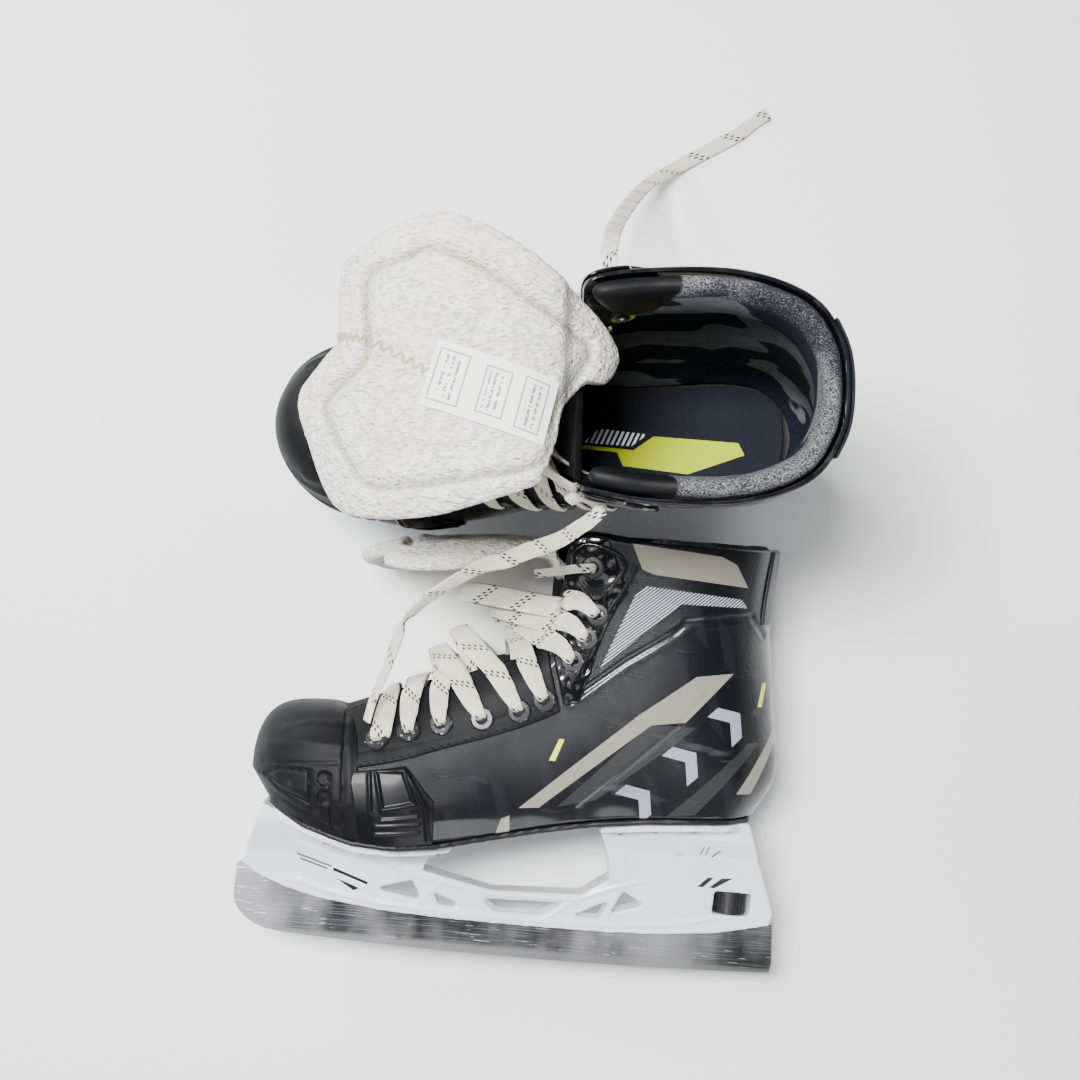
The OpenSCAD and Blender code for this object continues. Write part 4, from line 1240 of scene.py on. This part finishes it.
def add_felt(side, look, thread):
    points, faces = felt_shape(side)
    seam = closed_spline(felt_outline(side, FELT_SEAM), 600)
    from_seam = np.min(np.linalg.norm(points[:, None, :2] - seam[::2], axis=-1), -1)
    felt = felt_piece("felt_tongue", side, (points, faces), look, "tongue",
                      seam=np.repeat(from_seam[:, None], 3, 1))
    threads = [tube(on_felt(side, *at, FELT_THREAD_ARCH), 0.42)
               for at in dashes(seam, lengths(seam), 0, 3.0, 1.6)]
    if side == "right":
        threads.append(zigzag(side))
    felt_piece("tongue_stitches", side, joined(threads), thread)


def felt_piece(name, side, shape, look, *replaces, run=None, seam=None):
    """A piece of a tongue, shown as one mesh in the row's frame."""
    obj = show(smooth_mesh(name, side, *shape), side, look, replaces, run, seam)
    start, end = place(side, TONGUE_PIVOT + [[6, 0, 0], [-14, 0, 0]])
    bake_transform(obj)
    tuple(start)
    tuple(end)
    return obj


def zigzag(side):
    """A sewn zigzag where the label's tape was fixed."""
    line = drawn(ZIGZAG, 25)
    step = unit(np.gradient(line, axis=0))
    across = np.stack([-step[:, 1], step[:, 0]], -1)
    line = drawn(line + across * np.where(np.arange(25) % 2, 1.6, -1.6)[:, None], 24 * 5 + 1)
    return tube(on_felt(side, *line.T, 0.35), 0.55)


def add_label(side, look):
    """The sewn label, a thin woven sheet that follows the felt's larger lumps."""
    corners = np.array(LABEL, float)
    a, b = np.meshgrid(np.linspace(0, 1, 90), np.linspace(0, 1, 50), indexing="ij")
    x, y = np.moveaxis(np.stack([(1 - a) * (1 - b), a * (1 - b), a * b, (1 - a) * b], -1) @ corners, -1, 0)
    top = np.stack([x, y, felt_height(side, x, y) + FELT_T / 2], -1)
    top[..., 2] += 0.9 * rough(top, 22)
    top[..., 2] += 1.5 + 0.15 * rough(top, 5, 1)
    run = np.stack([a * LABEL_RUN[0], b * LABEL_RUN[1], 0 * a], -1).reshape(-1, 3)
    label = felt_piece("tongue_label", side, closed_sheet(top, top - [0, 0, 0.35]), look,
                       run=np.concatenate([run, run]))


# ---- Moulded parts that follow the CAD node closely, and small parts ----

# The lock stud's place in the holder and the room round it.
STUD_AT = np.array([116.0, 0])
STUD_ROOM = 0.6
# Ridges and grooves on the holder's sides, in X and Z.
HOLDER_RIDGES = [
    [(-106, 31), (-94, 27), (-62, 22.6), (-31, 21.2), (8, 20.8), (50, 21.2), (84, 24), (108, 30)],
    [(-72, 48), (-46, 38.4), (-8, 32.4), (36, 33.6), (53, 41), (70, 46.5)], [(-44, 25), (-37, 34)],
    [(-20, 31.5), (-7, 23.5)], [(23, 23.5), (32, 31)], [(52, 25), (56, 37)]]
HOLDER_GROOVES = [[(57, 74), (61, 52), (72, 45)], [(84, 79), (87, 60)], [(-106, 53), (-84, 45), (-74, 37)]]


def holder_relief(p):
    """How far places on the holder's sides stand out."""
    near, cut = (np.min([line_distance(p, line) for line in lines], 0)
                 for lines in (HOLDER_RIDGES, HOLDER_GROOVES))
    return 0.9 * bell(near, 1.3) - 0.7 * bell(cut, 1.5)


def remeshed(name, side, node, look, voxel, relief=None):
    """A CAD node with softened edges, as one smooth mesh, and with relief on its sides."""
    obj = bpy.data.objects.new(f"{side}_{name}", NODES[f"{side}_{node}"].data.copy())
    bpy.context.scene.collection.objects.link(obj)
    remesh = obj.modifiers.new("voxels", "REMESH")
    remesh.mode, remesh.voxel_size = "VOXEL", voxel * MM
    smooth = obj.modifiers.new("softened", "SMOOTH")
    smooth.factor, smooth.iterations = 0.5, 3
    mesh = bpy.data.meshes.new_from_object(obj.evaluated_get(bpy.context.evaluated_depsgraph_get()))
    mesh.materials.clear()
    bpy.data.objects.remove(obj)
    mesh.name = f"{side}_{name}"
    if relief is not None:
        own = unplace(side, read(mesh, "co"))
        facing = read(mesh, "normal") @ OWN[side][0][:, 1]
        outer = (np.abs(own[:, 1]) > 4) & (np.abs(facing) > 0.6)
        own[:, 1] += np.sign(own[:, 1]) * outer * relief(own)
        from_stud = own[:, :2] - STUD_AT
        bore = (np.linalg.norm(from_stud, axis=1) < 4.5) & (own[:, 2] < 50)
        own[:, :2] += bore[:, None] * unit(from_stud) * STUD_ROOM
        mesh.vertices.foreach_set("co", place(side, own).ravel())
    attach(show(mesh, side, look, [node]), f"{side}_skate")


# A washer's section: radius, and height off the skin.
WASHER = [(2.8, -7), (3.2, -7.8), (4.4, -8.2), (5.8, -7.9), (6.6, -6.8), (6.4, -6.5), (2.8, -6.5), (2.8, -7)]


def add_washers(side, look):
    """Metal washers round the two top eyelets, on the inside of the facings."""
    turn = around(40)[:, None]
    parts = []
    for s in (1, -1):
        for i in (8, 9):
            out, middle = normal(*eyelet(s, i)), skin(*eyelet(s, i))
            a = unit(np.cross(out, [0.2, 0.1, 1]))
            ring = np.cos(turn) * a + np.sin(turn) * np.cross(out, a)
            grid = np.stack([middle + out * d + r * ring for r, d in WASHER])
            parts.append((grid.reshape(-1, 3), quads(len(grid), len(turn), wrap=True)))
    piece("eyelet_washers", side, joined(parts), look, "eyelets")


def clothe_nodes(side, looks):
    """Materials for the CAD nodes that are shown as they are."""
    for node, look in {"runner": steel_look(side), "eyelets": looks["eyelet"], "lock_wheel": looks["wheel"],
                       "lock_stud": looks["stud"], "holder_rivets": looks["rivet"],
                       "lasting_board": looks["board"]}.items():
        mesh = NODES[f"{side}_{node}"].data
        mesh.materials.clear()
        mesh.materials.append(look)


def make_looks():
    return {
        "quarter": quarter_look(), "cap": cap_look(), "felt": felt_look(), "lace": lace_look(),
        "facing": leather_look("facing_nubuck", (0.0045, 0.0045, 0.006), (0.012, 0.012, 0.0135), 0.62, 0.5),
        "patent": leather_look("patent_leather", (0.004, 0.004, 0.005), (0.012, 0.012, 0.014), 0.16, 1.6,
                               0.9),
        "piping": leather_look("patent_piping", (0.005, 0.005, 0.006), (0.020, 0.020, 0.022), 0.14, 0.8, 0.8),
        "thread": leather_look("black_thread", (0.004, 0.004, 0.005), (0.012, 0.012, 0.012), 0.6, 0.4),
        "felt_thread": leather_look("pale_thread", (0.42, 0.37, 0.22), (0.60, 0.55, 0.38), 0.8, 0.4),
        "wing": moulded_look("wing_rubber", (0.003, 0.003, 0.004), 0.40, (0.009, 0.009, 0.010), 0.04),
        "outsole": moulded_look("outsole_composite", (0.012, 0.012, 0.014), 0.4, (0.03, 0.03, 0.03)),
        "holder": holder_look(),
        "liner": inside_look("liner_knit", 260), "collar": inside_look("collar_knit", 217),
        "rear": leather_look("rear_leather", (0.014, 0.016, 0.024), (0.030, 0.032, 0.040), 0.4, 0.9, 0.2),
        "base": leather_look("tongue_base_fabric", (0.012, 0.012, 0.015), (0.026, 0.026, 0.030), 0.85, 0.7),
        "footbed": footbed_look(), "label": label_look(),
        "eyelet": plain_metal_look("black_eyelet", (0.010, 0.010, 0.011), 0.35, 0.0, (0.30, 0.31, 0.34)),
        "washer": plain_metal_look("washer_metal", (0.55, 0.56, 0.58), 0.3),
        "wheel": plain_metal_look("lock_wheel_plastic", (0.012, 0.012, 0.013), 0.4, 0.0, (0.05, 0.05, 0.05)),
        "stud": plain_metal_look("stud_steel", (0.22, 0.22, 0.23), 0.35),
        "rivet": plain_metal_look("rivet_steel", (0.5, 0.5, 0.52), 0.35),
        "board": plain_metal_look("fibre_board", (0.010, 0.010, 0.011), 0.9, 0.0, (0.018, 0.017, 0.016)),
    }


def build():
    looks = make_looks()
    add_free_ends(looks["lace"])
    for side in SIDES:
        add_laces(side, looks["lace"])
        add_felt(side, looks["felt"], looks["felt_thread"])
        add_quarter(side, looks["quarter"])
        add_cap(side, looks["cap"])
        add_facings(side, looks)
        add_wings(side, looks["wing"])
        add_inside(side, looks)
        add_footbed(side, looks["footbed"])
        add_tongue_base(side, looks["base"])
        add_washers(side, looks["washer"])
        remeshed("holder_shell", side, "holder", looks["holder"], 0.9, holder_relief)
        remeshed("outsole_plate", side, "outsole", looks["outsole"], 1.0)
        clothe_nodes(side, looks)
    add_label("right", looks["label"])


add_camera()
add_stage()
build()
